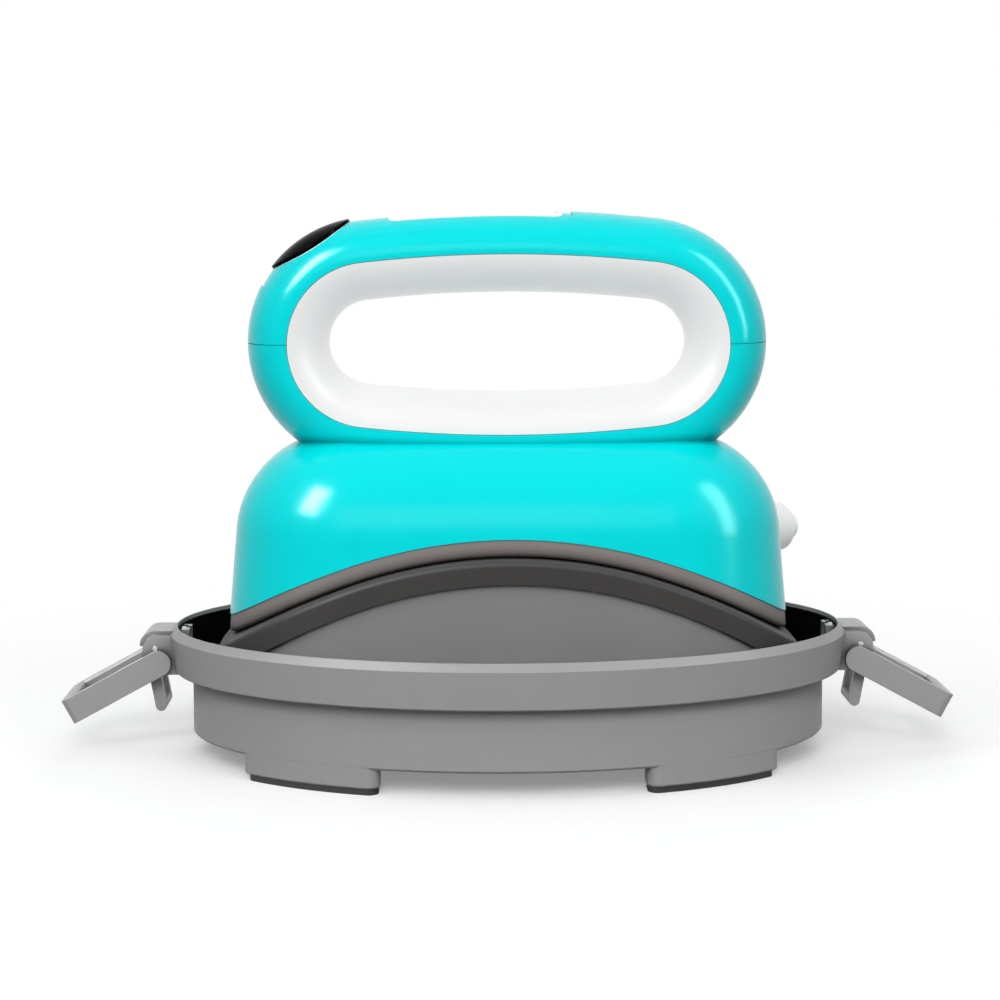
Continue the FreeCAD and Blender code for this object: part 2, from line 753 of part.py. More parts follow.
lever_round = lever.newObject("PartDesign::Fillet", "LeverRound")
lever_round.Base = (lever_pad, corner_edges(lever_pad, at_tip_corner))
bind(lever_round, Radius="D.lever_corner")
doc.recompute()
slot_plan = body_sketch(lever, "LeverSlotPlan", "XY_Plane")
slot_half = measure("D.lever_width / 2 - D.cheek_thickness")
slot_end = measure("D.lever_length - D.lever_end")
slot_start = -2 * half_height
corners = [(slot_start, -slot_half), (slot_end, -slot_half), (slot_end, slot_half), (slot_start, slot_half)]
sides = []
for index, (x, y) in enumerate(corners):
    next_x, next_y = corners[(index + 1) % 4]
    sides.append(slot_plan.addGeometry(Part.LineSegment(Vector(x, y, 0), Vector(next_x, next_y, 0))))
for index in range(4):
    constrain(slot_plan, "Coincident", sides[index], 2, sides[(index + 1) % 4], 1)
    if index != 1:
        constrain(slot_plan, "Vertical" if index % 2 else "Horizontal", sides[index])
constrain(slot_plan, "Symmetric", sides[1], 1, sides[1], 2, -1)
constrain(slot_plan, "DistanceY", sides[1], 1, sides[1], 2, drive="D.lever_width - 2 * D.cheek_thickness")
constrain(slot_plan, "DistanceX", -1, 1, sides[1], 1, drive="D.lever_length - D.lever_end")
constrain(slot_plan, "DistanceX", sides[3], 1, -1, 1, drive="D.lever_height")
lever_slot = lever.newObject("PartDesign::Pocket", "LeverSlot")
lever_slot.Profile = slot_plan
lever_slot.Type = "ThroughAll"
lever_slot.Midplane = True
eye_hole_side = body_sketch(lever, "LeverEyeSide", "XZ_Plane")
hole = eye_hole_side.addGeometry(Part.Circle(Vector(), Vector(0, 0, 1), measure("D.hinge_pin / 2")))
constrain(eye_hole_side, "Coincident", hole, 3, -1, 1)
constrain(eye_hole_side, "Radius", hole, drive="D.hinge_pin / 2 + D.hinge_clearance")
eye_hole = lever.newObject("PartDesign::Pocket", "LeverEye")
eye_hole.Profile = eye_hole_side
eye_hole.Midplane = True
bind(eye_hole, Length="2 * (D.pin_reach + D.hinge_clearance * 3)")
doc.recompute()


def on_slot_rim(edge):
    """The upper inner edges of the slot, which are chamfered."""
    bounds = edge.BoundBox
    high = bounds.ZMin > half_height - 0.01
    depth = max(abs(bounds.YMin), abs(bounds.YMax))
    return high and bounds.XMax < slot_end + 0.01 and depth < slot_half + 0.01


lever_bevel = lever.newObject("PartDesign::Chamfer", "LeverBevel")
lever_bevel.Base = (eye_hole, corner_edges(eye_hole, on_slot_rim))
bind(lever_bevel, Size="D.lever_chamfer")
lever.Placement = Placement(Vector(), Rotation(Vector(0, 1, 0), measure("D.lever_droop")))
move(lever, x=PIVOT_X, z=PIVOT_Z)

# Bail: two legs hang from the pin, lean inwards and meet in a round bar

BAIL_HALF = "D.bail_width / 2"
BAIL_INNER = "(D.bail_width / 2 - D.bail_leg)"
bail_top = Vector(measure(PIVOT_X + " + D.bail_top_out"), 0, measure(PIVOT_Z + " - D.bail_top_down"))
bail_low = Vector(measure(PIVOT_X + " - D.bail_bottom_in"), 0, measure(PIVOT_Z + " - D.bail_bottom_down"))
eyes = cross_cylinder("BailEyes", "D.bail_eye / 2", PIVOT_X, PIVOT_Z, BAIL_HALF)
shoulders = cross_cylinder("BailShoulders", "D.bail_depth / 2", str(bail_top.x), str(bail_top.z), BAIL_HALF)
bar = cross_cylinder("BailBar", "D.bail_depth / 2", str(bail_low.x), str(bail_low.z), BAIL_HALF)
blade = add("Part::Box", "BailBlade")
blade.Length = measure("D.bail_depth")
blade.Height = (bail_top - bail_low).Length
bind(blade, Width="D.bail_width")
lean = math.degrees(math.atan2(bail_top.x - bail_low.x, bail_top.z - bail_low.z))
blade_turn = Rotation(Vector(0, 1, 0), lean)
blade_start = bail_low - blade_turn.multVec(Vector(blade.Length.Value / 2, 0, 0))
blade_start.y = -measure(BAIL_HALF)
blade.Placement = Placement(blade_start, blade_turn)
bail_space = box(
    "BailSpace",
    (INWARD_X, PIVOT_X + " + 20"),
    ("-" + BAIL_INNER, BAIL_INNER),
    (str(bail_low.z + blade.Length.Value / 2), PIVOT_Z + " + 20"),
)
bail_hole = cross_cylinder("BailHole", "D.hinge_pin / 2 + D.hinge_clearance", PIVOT_X, PIVOT_Z)
bail = cut("Bail", fuse("BailBlank", eyes, shoulders, bar, blade), bail_space, bail_hole)

latch_pieces = (
    ("latch_bracket", bracket),
    ("latch_clamp", clamp),
    ("latch_pin", pin),
    ("latch_stop", stop),
    ("latch_screw", latch_screw),
    ("latch_lever", lever),
    ("latch_bail", bail),
)
for label, piece in latch_pieces:
    keep(mirrored("Left_" + label, piece), label + "_left")
    keep(piece, label + "_right")

latch_holes = fuse("LatchHoles", latch_hole, mirrored("LatchHoleLeft", latch_hole))
tray_solid = fuse("TraySolid", outside, legs)
keep(cut("BaseTray", tray_solid, tray_inside, stand_holes, latch_holes), "base_tray")
liner_trim = box(
    "LinerTrim",
    ("-D.rim_length", "D.rim_length"),
    ("-D.rim_width", "D.rim_width"),
    ("D.rim_height - D.liner_drop", "D.rim_height + 2"),
)
keep(cut("TrayLiner", tray_inside, liner_inside, liner_trim, stand_holes, latch_holes), "tray_liner")

# Press body: a tapered pad with a large round on its top, in one form for each depth of wall

PLATE_FACE = "D.arch_radius + D.plate_gap"
PLATE_BACK = PLATE_FACE + " + D.plate_thickness"
ELEMENT_BACK = PLATE_BACK + " + D.element_thickness"
INSULATION_BACK = ELEMENT_BACK + " + D.insulation_thickness"
REFLECTOR_BACK = INSULATION_BACK + " + D.reflector_thickness"
SKIRT_FACE = PLATE_FACE + " + D.plate_reveal"
SHELL_EDGE = "D.shell_edge"
LEDGE_BACK = PLATE_BACK + " + D.ledge_thickness"


def body_form(name, inset, lift="0"):
    """The dome of the press at one depth inside its outer surface."""
    body = doc.addObject("PartDesign::Body", name)
    plan = body_sketch(body, name + "Plan", "XY_Plane")
    draw_rounded_rectangle(
        plan,
        "D.body_length - 2 * (%s)" % inset,
        "D.body_width - 2 * (%s)" % inset,
        "D.body_corner - (%s)" % inset,
    )
    bind(plan, AttachmentOffset__Base__z="D.body_base + (%s)" % lift)
    dome = body.newObject("PartDesign::Pad", name + "Pad")
    dome.Profile = plan
    bind(dome, Length="D.body_top - D.body_base - (%s)" % inset, TaperAngle="-D.body_draft")
    doc.recompute()
    highest = max(range(len(dome.Shape.Faces)), key=lambda index: dome.Shape.Faces[index].CenterOfMass.z)
    crown = body.newObject("PartDesign::Fillet", name + "Round")
    crown.Base = (dome, ["Face%d" % (highest + 1)])
    bind(crown, Radius="D.body_round - (%s)" % inset)
    return body


dome_outside = body_form("DomeOutside", "0")
dome_inside = body_form("DomeInside", "D.body_wall")
skirt_outside = body_form("SkirtOutside", "D.skirt_inset")
neck_outside = body_form("NeckOutside", "0", "D.neck_floor")
doc.recompute()


def plate_prism(name, inset):
    return plan_prism(
        name,
        "D.plate_length - 2 * (%s)" % inset,
        "D.plate_width - 2 * (%s)" % inset,
        "D.plate_corner - (%s)" % inset,
        ("D.rim_height / 2", "D.body_top"),
    )


def place_on_arch(x, y, radius, outward=False):
    """A place at one radius over the point x, y, with its Z axis towards the arch's axis or away from it."""
    angle = math.asin(x / radius)
    spot = Vector(x, y, measure("D.arch_axis") + radius * math.cos(angle))
    return Placement(spot, Rotation(Vector(0, 1, 0), math.degrees(angle) + (0 if outward else 180)))


# Heat stack: plate, element, insulation and reflector follow the arch, and the ledge carries the plate
ledge_radius = measure(LEDGE_BACK)
plate_side_y = measure("D.plate_width / 2 - D.plate_screw_inset")
plate_end_x = measure("D.plate_length / 2 - D.plate_screw_inset")
plate_spots = [(sx * measure("D.plate_length / 6"), sy * plate_side_y) for sx in (1, -1) for sy in (1, -1)]
plate_spots += [(plate_end_x, 0), (-plate_end_x, 0)]
plate_places = [place_on_arch(x, y, ledge_radius) for x, y in plate_spots]
plate_screw_length = "(D.ledge_thickness + D.plate_screw_grip)"
plate_screws, plate_holes = screws_and_holes("PlateScrew", plate_screw_length, plate_places, "D.small_screw")
keep(plate_screws, "plate_screws")

stack_prism = plate_prism("StackPrism", "D.stack_inset")
heat_plate = arch_slab("HeatPlateSlab", plate_prism("PlatePrism", "0"), PLATE_FACE, PLATE_BACK)
keep(cut("HeatPlate", heat_plate, plate_holes), "heat_plate")
keep(arch_slab("HeatingElement", stack_prism, PLATE_BACK, ELEMENT_BACK), "heating_element")
sensor_height = "D.insulation_thickness - D.sensor_relief"
sensor = cylinder("Sensor", "D.sensor_diameter / 2", sensor_height, z="D.arch_axis + " + ELEMENT_BACK)
keep(sensor, "temperature_sensor")
sensor_hole = cylinder("SensorHole", "D.sensor_diameter / 2 + D.pocket_clearance", "D.body_top")
fuse_radius = "(%s + D.fuse_diameter / 2 + D.fuse_gap)" % ELEMENT_BACK
fuse_x = fuse_radius + " * sin(D.fuse_angle)"
fuse_z = "D.arch_axis + %s * cos(D.fuse_angle)" % fuse_radius
keep(cross_cylinder("ThermalFuse", "D.fuse_diameter / 2", fuse_x, fuse_z, "D.fuse_length / 2"), "thermal_fuse")
fuse_bore = "D.fuse_diameter / 2 + D.pocket_clearance"
fuse_hole = cross_cylinder("FuseHole", fuse_bore, fuse_x, fuse_z, "D.fuse_length / 2 + D.pocket_clearance")
insulation = arch_slab("InsulationSlab", stack_prism, ELEMENT_BACK, INSULATION_BACK)
keep(cut("Insulation", insulation, sensor_hole, fuse_hole), "insulation_pad")
keep(arch_slab("Reflector", stack_prism, INSULATION_BACK, REFLECTOR_BACK), "heat_reflector")

# Heat shield: a frame round the plate with a tongue inside the shell and a ledge over the plate's edge
visible_band = arch_slab("VisibleBand", skirt_outside, SKIRT_FACE, SHELL_EDGE)
soft_band = rounded("SoftBand", visible_band, "D.skirt_edge", on_arch(SKIRT_FACE))
tongue = arch_slab("Tongue", dome_inside, SHELL_EDGE, LEDGE_BACK)
ledge_opening = plate_prism("LedgeOpening", "D.ledge_width")
plate_room = plate_prism("PlateRoom", "-D.plate_clearance")
plate_opening = common("PlateOpening", plate_room, arch_cylinder("PlateOpeningArch", PLATE_BACK))
skirt_raw = fuse("SkirtRaw", soft_band, tongue)

corner_x = measure("D.body_length / 2 - D.body_corner")
corner_y = measure("D.body_width / 2 - D.body_corner")
body_screw_x = corner_x + measure("D.body_screw_reach * sin(D.body_screw_turn)")
body_screw_y = corner_y + measure("D.body_screw_reach * cos(D.body_screw_turn)")
face_height = place_on_arch(body_screw_x, 0, measure(PLATE_FACE)).Base.z
body_places = four_places(body_screw_x, body_screw_y, face_height + measure("D.body_screw_cover"))
body_screws, body_holes = screws_and_holes("BodyScrew", "D.body_screw_length", body_places, "D.small_screw")
keep(body_screws, "body_screws")
keep(cut("Skirt", skirt_raw, ledge_opening, plate_opening, plate_holes, body_holes), "heat_shield_skirt")

# Cord gland: a cone with a stepped nose, on a spigot through the wall at the rear right
gland_turn = measure("D.gland_turn")
gland_axis = Rotation(Vector(0, 0, 1), gland_turn).multiply(Rotation(Vector(0, 1, 0), 90))
wall_reach = measure("D.body_corner - (D.gland_height - D.body_base) * tan(D.body_draft)")


def on_gland(thing, distance):
    """Put a piece on the gland's axis, at a distance outside the body's wall."""
    reach = wall_reach + distance
    turned = math.radians(gland_turn)
    spot = (corner_x + reach * math.cos(turned), corner_y + reach * math.sin(turned), measure("D.gland_height"))
    thing.Placement = Placement(Vector(*spot), gland_axis)
    return thing


gland_root = measure("D.gland_root")
spigot_inside = measure("D.body_wall + D.spigot_end")
gland_cone = doc.addObject("Part::Cone", "GlandCone")
bind(gland_cone, Radius1="D.gland_base / 2", Radius2="D.gland_mouth / 2")
bind(gland_cone, Height="D.gland_length + D.gland_root")
on_gland(gland_cone, -gland_root)
gland_nose = cylinder("GlandNose", "D.nose_diameter / 2", "D.gland_length + D.nose_length")
on_gland(gland_nose, 0)
spigot = cylinder("Spigot", "D.spigot_diameter / 2", "D.gland_root + %s" % spigot_inside)
on_gland(spigot, -spigot_inside)
spigot_hole = cylinder("SpigotHole", "D.spigot_diameter / 2", "D.gland_root + %s" % spigot_inside)
on_gland(spigot_hole, -spigot_inside)
bore = cylinder("Bore", "D.gland_bore / 2", "D.gland_length * 3")
on_gland(bore, -gland_root * 2)
gland_outer = fuse("GlandOuter", cut("GlandFoot", gland_cone, dome_outside), gland_nose)


def ring_step(edge):
    """The edges at the mouth of the cone and the tip of the nose, which are rounded."""
    out = gland_axis.multVec(Vector(0, 0, 1))
    spot = Vector(corner_x, corner_y, measure("D.gland_height"))
    distances = [(point - spot).dot(out) - wall_reach for point in edge.discretize(4)]
    steps = (measure("D.gland_length"), measure("D.gland_length + D.nose_length"))
    return any(all(abs(distance - step) < 0.01 for distance in distances) for step in steps)


gland_soft = rounded("GlandSoft", gland_outer, "D.gland_edge", ring_step)
keep(cut("Gland", fuse("GlandRaw", gland_soft, spigot), bore), "cord_gland")

# Handle ring: an ellipse carried round an oval path of four tangent arcs

SECTION = "(D.handle_section / 2)"


def draw_oval(sketch, radius, half):
    """An oval about the sketch's origin: round ends, and long arcs that meet at the top and the bottom."""
    end_x = measure("D.end_x")
    end_radius = measure(radius)
    height = measure(half)
    long_radius = (end_x ** 2 + height ** 2 - end_radius ** 2) / (2 * (height - end_radius))
    meet = math.atan2(long_radius - height, end_x)
    normal = Vector(0, 0, 1)
    right_circle = Part.Circle(Vector(end_x, 0, 0), normal, end_radius)
    left_circle = Part.Circle(Vector(-end_x, 0, 0), normal, end_radius)
    top_circle = Part.Circle(Vector(0, height - long_radius, 0), normal, long_radius)
    low_circle = Part.Circle(Vector(0, long_radius - height, 0), normal, long_radius)
    half_turn = math.pi
    spans = [
        (top_circle, meet, half_turn / 2),
        (top_circle, half_turn / 2, half_turn - meet),
        (left_circle, half_turn - meet, half_turn + meet),
        (low_circle, half_turn + meet, 1.5 * half_turn),
        (low_circle, 1.5 * half_turn, 2 * half_turn - meet),
        (right_circle, -meet, meet),
    ]
    arcs = [sketch.addGeometry(Part.ArcOfCircle(circle, first, last)) for circle, first, last in spans]
    for index in range(6):
        constrain(sketch, "Tangent", arcs[index], 2, arcs[(index + 1) % 6], 1)
    constrain(sketch, "PointOnObject", arcs[0], 2, -2)
    constrain(sketch, "PointOnObject", arcs[0], 3, -2)
    constrain(sketch, "PointOnObject", arcs[3], 2, -2)
    constrain(sketch, "PointOnObject", arcs[3], 3, -2)
    constrain(sketch, "PointOnObject", arcs[2], 3, -1)
    constrain(sketch, "PointOnObject", arcs[5], 3, -1)
    constrain(sketch, "DistanceX", -1, 1, arcs[5], 3, drive="D.end_x")
    constrain(sketch, "DistanceX", arcs[2], 3, -1, 1, drive="D.end_x")
    constrain(sketch, "Radius", arcs[5], drive=radius)
    constrain(sketch, "Radius", arcs[2], drive=radius)
    constrain(sketch, "DistanceY", -1, 1, arcs[0], 2, drive=half)
    constrain(sketch, "DistanceY", arcs[3], 2, -1, 1, drive=half)


def oval_sketch(name, inset):
    """An oval at one inset from the outline of the handle."""
    sketch = add("Sketcher::SketchObject", name, Placement=Placement(Vector(), UPRIGHT))
    draw_oval(sketch, "D.handle_end - (%s)" % inset, "D.handle_height / 2 - (%s)" % inset)
    return move(sketch, z="D.handle_centre")


ring_path = oval_sketch("RingPath", SECTION)


def ring_form(name, inset):
    """The handle's ring at one depth inside its outer surface, with a negative depth outside it."""
    section = doc.addObject("Part::Ellipse", name + "Section")
    across = Rotation(Vector(0, 1, 0), Vector(0, 0, 1), Vector(1, 0, 0), "ZXY")
    section.Placement = Placement(Vector(), across)
    bind(section, MajorRadius="D.handle_width / 2 - (%s)" % inset, MinorRadius="%s - (%s)" % (SECTION, inset))
    move(section, z="D.handle_centre + D.handle_height / 2 - " + SECTION)
    return add("Part::Sweep", name, Sections=[section], Spine=(ring_path, []), Solid=True, Frenet=False)


ring_outside = ring_form("RingOutside", "0")
ring_inside = ring_form("RingInside", "D.handle_wall")
grip_outline = oval_sketch("GripOutline", "D.grip_inset")
grip_prism = extrude("GripPrism", grip_outline, REACH, both=True)
ring_shell = cut("RingShell", ring_outside, ring_inside)
grip = common("Grip", ring_shell, grip_prism)
casing = cut("Casing", ring_shell, grip_prism)

WIDE = ("-D.rim_length", "D.rim_length")
FRONT = ("-D.rim_length", "0")
REAR = ("0", "D.rim_length")
ABOVE = ("D.handle_centre + D.seam_gap / 2", "D.rim_length * 2")
BELOW = ("0", "D.handle_centre - D.seam_gap / 2")
ALL_HEIGHTS = ("0", "D.rim_length * 2")
keep(common("GripFront", grip, box("GripFrontHalf", WIDE, FRONT, ALL_HEIGHTS)), "grip_liner_front")
keep(common("GripRear", grip, box("GripRearHalf", WIDE, REAR, ALL_HEIGHTS)), "grip_liner_rear")

# Lower handle shell: it stands on the dome with a floor, and screws come up through the dome's roof
neck_bosses = []
neck_places = []
roof_under = measure("D.body_top - D.body_wall")
neck_spots = ("-D.neck_screw_far", "-D.neck_screw_near", "D.neck_screw_near", "D.neck_screw_far")
for index, x in enumerate(neck_spots):
    boss = cylinder("NeckBoss%d" % index, "D.boss_diameter / 2", "D.neck_boss_height", x=x, z="D.body_top")
    neck_bosses.append(boss)
    neck_places.append(Placement(Vector(measure(x), 0, roof_under), Rotation()))
handle_screws, neck_holes = screws_and_holes("HandleScrew", "D.neck_screw_length", neck_places)
keep(handle_screws, "handle_screws")
lower_ring = common("LowerRing", casing, box("LowerHalf", WIDE, WIDE, BELOW))
neck_floor = common("NeckFloor", ring_outside, neck_outside)
lower_raw = fuse("LowerRaw", lower_ring, neck_floor, *neck_bosses)
keep(cut("LowerShell", lower_raw, grip_prism, dome_outside, neck_holes), "handle_lower_shell")

# Upper handle shell with its lens hole, its panel opening and a support for each board
LINE_END = "(D.handle_end - %s)" % SECTION
lens_tilt = Rotation(Vector(0, 1, 0), -measure("D.lens_angle"))
lens_out = lens_tilt.multVec(Vector(0, 0, 1))
lens_centre = Vector(-measure("D.end_x"), 0, measure("D.handle_centre"))


def on_lens(thing, distance, side=0.0, depth=0.0):
    """Put a piece on the lens's axis, at a distance from the centre of the handle's round end."""
    offset = lens_tilt.multVec(Vector(-side, -depth, 0))
    thing.Placement = Placement(lens_centre + lens_out * distance + offset, lens_tilt)
    return thing


lens_start = measure(LINE_END)
lens_tool = on_lens(cylinder("LensTool", "D.lens_diameter / 2", "D.handle_section"), lens_start)
lens_cutter = cylinder("LensHole", "D.lens_diameter / 2 + D.lens_clearance", "D.handle_section")
lens_hole = on_lens(lens_cutter, lens_start)
lens_skin = cut("LensSkin", ring_form("LensOutside", "-D.lens_rise"), ring_form("LensInside", "D.lens_depth"))
keep(common("DisplayLens", lens_skin, lens_tool), "display_lens")

PANEL_MIDDLE = "(D.panel_right - D.panel_left) / 2"
CROWN_DEPTH = ("D.crown - D.handle_section / 2", "D.crown + 2")


def panel_prism(name, margin):
    return plan_prism(
        name,
        "D.panel_left + D.panel_right + 2 * (%s)" % margin,
        "D.panel_width + 2 * (%s)" % margin,
        "D.panel_corner + (%s)" % margin,
        CROWN_DEPTH,
        x=PANEL_MIDDLE,
    )


panel_opening = panel_prism("PanelOpening", "0")
upper_half = box("UpperHalf", WIDE, WIDE, ABOVE)
deck_left = "(D.handle_length / 2 + D.deck_corner)"
deck_right = "(D.panel_right + D.deck_beyond_panel)"
deck_prism = plan_prism(
    "DeckPrism",
    "%s + %s" % (deck_left, deck_right),
    "D.deck_width",
    "D.deck_corner",
    ("D.handle_centre + D.deck_low", "D.crown + 2"),
    x="(%s - %s) / 2" % (deck_right, deck_left),
)
deck_face = ring_form("DeckFace", "D.deck_sink")
deck_room = cut("DeckRoom", deck_prism, deck_face)
upper_ring = common("UpperRing", casing, upper_half)
keep(cut("UpperShell", upper_ring, deck_room, lens_hole, panel_opening), "handle_upper_shell")

# The panel lies level with the deck
panel_skin = cut("PanelSkin", deck_face, ring_form("PanelUnder", "D.deck_sink + D.panel_thickness"))
panel_blank = common("PanelBlank", panel_skin, panel_prism("PanelPrism", "0"))


# Keys: each cap follows the crown, stands a little proud of the panel and has a flange under it
key_crown = ring_form("KeyCrown", "D.deck_sink - D.key_rise")


def crown_at(x):
    """The height of the crown's arc over one x."""
    return "(D.crown - D.crown_radius + sqrt(D.crown_radius ^ 2 - (%s) ^ 2))" % x


key_windows = []
for index in range(3):
    key_x = "D.key_first + %d * D.key_pitch" % index
    key_low = crown_at(key_x) + " - D.key_height"
    window = plan_prism(
        "KeyWindow%d" % index,
        "D.key_length + 2 * D.key_clearance",
        "D.key_width + 2 * D.key_clearance",
        "D.key_corner + D.key_clearance",
        CROWN_DEPTH,
        x=key_x,
    )
    key_windows.append(window)
    cap_prism = plan_prism(
        "KeyPrism%d" % index, "D.key_length", "D.key_width", "D.key_corner", (key_low, "D.crown + 2"), x=key_x
    )
    flange = plan_prism(
        "KeyFlange%d" % index,
        "D.key_length + 2 * D.key_flange",
        "D.key_width + 4 * D.key_flange",
        "D.key_corner + D.key_flange",
        (key_low, key_low + " + D.key_flange_thickness"),
        x=key_x,
    )
    cap = fuse("KeyRaw%d" % index, common("KeyCap%d" % index, cap_prism, key_crown), flange)
    keep(cap, "key_%d" % (index + 1))
keep(cut("Panel", panel_blank, *key_windows), "control_panel")

# Boards inside the handle: a key board with three switches and a buzzer, and a display board under the lens
board_top = "(D.crown - %s + D.key_board_rise)" % SECTION
board_low = "(%s - D.board_thickness)" % board_top
board_left = "(D.key_board_lead - D.panel_left)"
board_half = "(D.handle_width / 2 - D.handle_wall - D.key_board_margin)"
board_x = (board_left, board_left + " + D.key_board_length")
keep(box("KeyBoard", board_x, ("-" + board_half, board_half), (board_low, board_top)), "key_board")
switches = []
for index in range(3):
    key_x = "(D.key_first + %d * D.key_pitch)" % index
    switch_top = crown_at(key_x) + " - D.key_height - D.key_travel - D.switch_gap"
    case_top = "(%s - D.plunger_height)" % switch_top
    case_x = (key_x + " - D.switch_size / 2", key_x + " + D.switch_size / 2")
    case_y = ("-D.switch_size / 2", "D.switch_size / 2")
    case = box("SwitchCase%d" % index, case_x, case_y, (board_top, case_top))
    plunger = cylinder("Plunger%d" % index, "D.plunger_diameter / 2", "D.plunger_height", x=key_x, z=case_top)
    switches.append(fuse("Switch%d" % index, case, plunger))
keep(group("Switches", switches), "key_switches")
buzzer = cylinder("Buzzer", "D.buzzer_diameter / 2", "D.buzzer_height")
keep(move(buzzer, x="D.buzzer_lead - D.panel_left", z=board_low + " - D.buzzer_height"), "buzzer")
display_start = lens_start + measure("D.display_rise")
display_disc = cylinder("DisplayDisc", "D.lens_diameter / 2 + D.display_margin", "D.board_thickness")
on_lens(display_disc, display_start)
display_can = doc.addObject("Part::Box", "DisplayCan")
bind(display_can, Length="D.display_can_length", Width="D.display_can_width", Height="D.display_can_height")
can_side = measure("D.display_can_length / 2")
can_depth = measure("D.display_can_width / 2")
on_lens(display_can, display_start + measure("D.board_thickness"), can_side, can_depth)
keep(fuse("DisplayBoard", display_disc, display_can), "display_board")

# Power board: it hangs from four bosses under the dome's roof, over the reflector
power_low = "(D.body_top - D.power_drop)"
power_top = "(%s + D.board_thickness)" % power_low
POWER_HALF = "(D.power_width / 2)"
power_y = ("-" + POWER_HALF, POWER_HALF)
power_plate = box("PowerPlate", ("D.power_near", "D.power_far"), power_y, (power_low, power_top))
power_bosses = []
power_places = []
power_screw_y = measure("D.power_width / 2 - D.power_screw_inset")
for x in (measure("D.power_near + D.power_screw_inset"), measure("D.power_far - D.power_screw_inset")):
    for y in (power_screw_y, -power_screw_y):
        name = "PowerBoss%d" % len(power_bosses)
        boss = cylinder(name, "D.boss_diameter / 2", "D.power_boss_height", x=str(x), y=str(y), z=power_top)
        power_bosses.append(boss)
        power_places.append(Placement(Vector(x, y, measure(power_low)), Rotation()))
board_screws, board_holes = screws_and_holes(
    "BoardScrew", "D.power_screw_length", power_places, "D.small_screw"
)
keep(board_screws, "board_screws")
keep(cut("PowerBoard", power_plate, board_holes), "power_board")


def on_board(name, x, y, length, width, height):
    """A block on the power board, from its lowest x and y."""
    along = (x, "%s + %s" % (x, length))
    across = (y, "%s + %s" % (y, width))
    return box(name, along, across, (power_top, power_top + " + " + height))


part_x = "D.power_near + 2 * D.power_screw_inset + D.part_margin"
relay_y = "-%s + D.boss_diameter" % POWER_HALF
transformer_y = "%s - D.transformer_width - D.part_margin" % POWER_HALF
transformer_x = part_x + " + D.part_margin"
keep(on_board("Relay", part_x, relay_y, "D.relay_length", "D.relay_width", "D.relay_height"), "power_relay")
transformer_size = ("D.transformer_length", "D.transformer_width", "D.transformer_height")
keep(on_board("Transformer", transformer_x, transformer_y, *transformer_size), "transformer")
terminal_x = "D.power_far - D.terminal_length - D.part_margin / 2"
terminal_size = ("D.terminal_length", "D.terminal_width", "D.terminal_height")
terminal_block = on_board("TerminalBlock", terminal_x, "-D.terminal_width / 2", *terminal_size)
terminal_wells = [
    cylinder(
        "TerminalWell%d" % index,
        "D.terminal_well / 2",
        "D.terminal_height",
        x=terminal_x + " + D.terminal_length / 2",
        y="%d * D.terminal_pitch" % (index - 1),
        z=power_top + " + D.terminal_height / 2",
    )
    for index in range(3)
]
keep(cut("Terminals", terminal_block, fuse("TerminalWells", *terminal_wells)), "terminal_block")

# Shell of the press: the dome's wall, open below along the arch, with the bosses that its screws need
shell_wall = cut("ShellWall", dome_outside, dome_inside, arch_cylinder("ShellArch", SHELL_EDGE))
body_bosses = []
for index, place in enumerate(body_places):
    boss = cylinder("BodyBoss%d" % index, "D.body_boss / 2", "D.body_boss_height")
    start = place.Base.z - measure("D.body_boss_lead")
    body_bosses.append(move(boss, x=str(place.Base.x), y=str(place.Base.y), z=str(start)))
boss_set = fuse("BossSet", *power_bosses, *body_bosses)
boss_solid = cut("BossSolid", boss_set, arch_cylinder("BossArch", LEDGE_BACK))
boss_inside = common("BossInside", boss_solid, dome_outside)
shell_raw = fuse("ShellRaw", shell_wall, boss_inside)
keep(cut("Shell", shell_raw, spigot_hole, neck_holes, board_holes, body_holes), "body_shell")

doc.removeObject("Gauge")
doc.recompute()

# Every object has to be sound before a file is written
for thing in doc.Objects:
    if "Invalid" in thing.State or "Error" in thing.State:
        raise RuntimeError("%s failed: %s" % (thing.Name, thing.State))
for sub_part in sub_parts:
    shape = sub_part.Shape
    if shape.isNull() or not shape.isValid():
        raise RuntimeError("%s has no valid shape" % sub_part.Label)

os.makedirs("parts", exist_ok=True)
for sub_part in sub_parts:
    sub_part.Shape.exportStep("parts/%s.step" % sub_part.Label)
    print(sub_part.Label, len(sub_part.Shape.Solids), round(sub_part.Shape.Volume, 1))
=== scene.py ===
import math

import bpy
import numpy as np
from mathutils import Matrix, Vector


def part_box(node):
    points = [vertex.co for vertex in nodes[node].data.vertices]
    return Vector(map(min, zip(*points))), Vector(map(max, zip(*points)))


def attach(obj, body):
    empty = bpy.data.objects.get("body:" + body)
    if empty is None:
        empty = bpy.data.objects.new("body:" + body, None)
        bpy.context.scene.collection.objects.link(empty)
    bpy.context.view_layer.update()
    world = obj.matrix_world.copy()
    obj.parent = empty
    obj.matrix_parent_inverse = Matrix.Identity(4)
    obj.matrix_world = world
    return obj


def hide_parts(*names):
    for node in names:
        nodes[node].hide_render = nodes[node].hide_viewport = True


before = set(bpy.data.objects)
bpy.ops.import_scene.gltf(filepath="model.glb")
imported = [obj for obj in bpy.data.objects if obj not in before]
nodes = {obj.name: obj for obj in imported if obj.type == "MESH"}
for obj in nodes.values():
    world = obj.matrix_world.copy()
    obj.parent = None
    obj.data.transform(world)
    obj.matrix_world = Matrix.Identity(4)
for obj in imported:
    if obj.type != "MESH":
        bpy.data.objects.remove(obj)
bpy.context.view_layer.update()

# Foot pads
# A strip of soft black rubber lies under each of the four legs.
# It is cut to the leg's outline and glued on, and its skin is slightly rough.
MM = 0.001


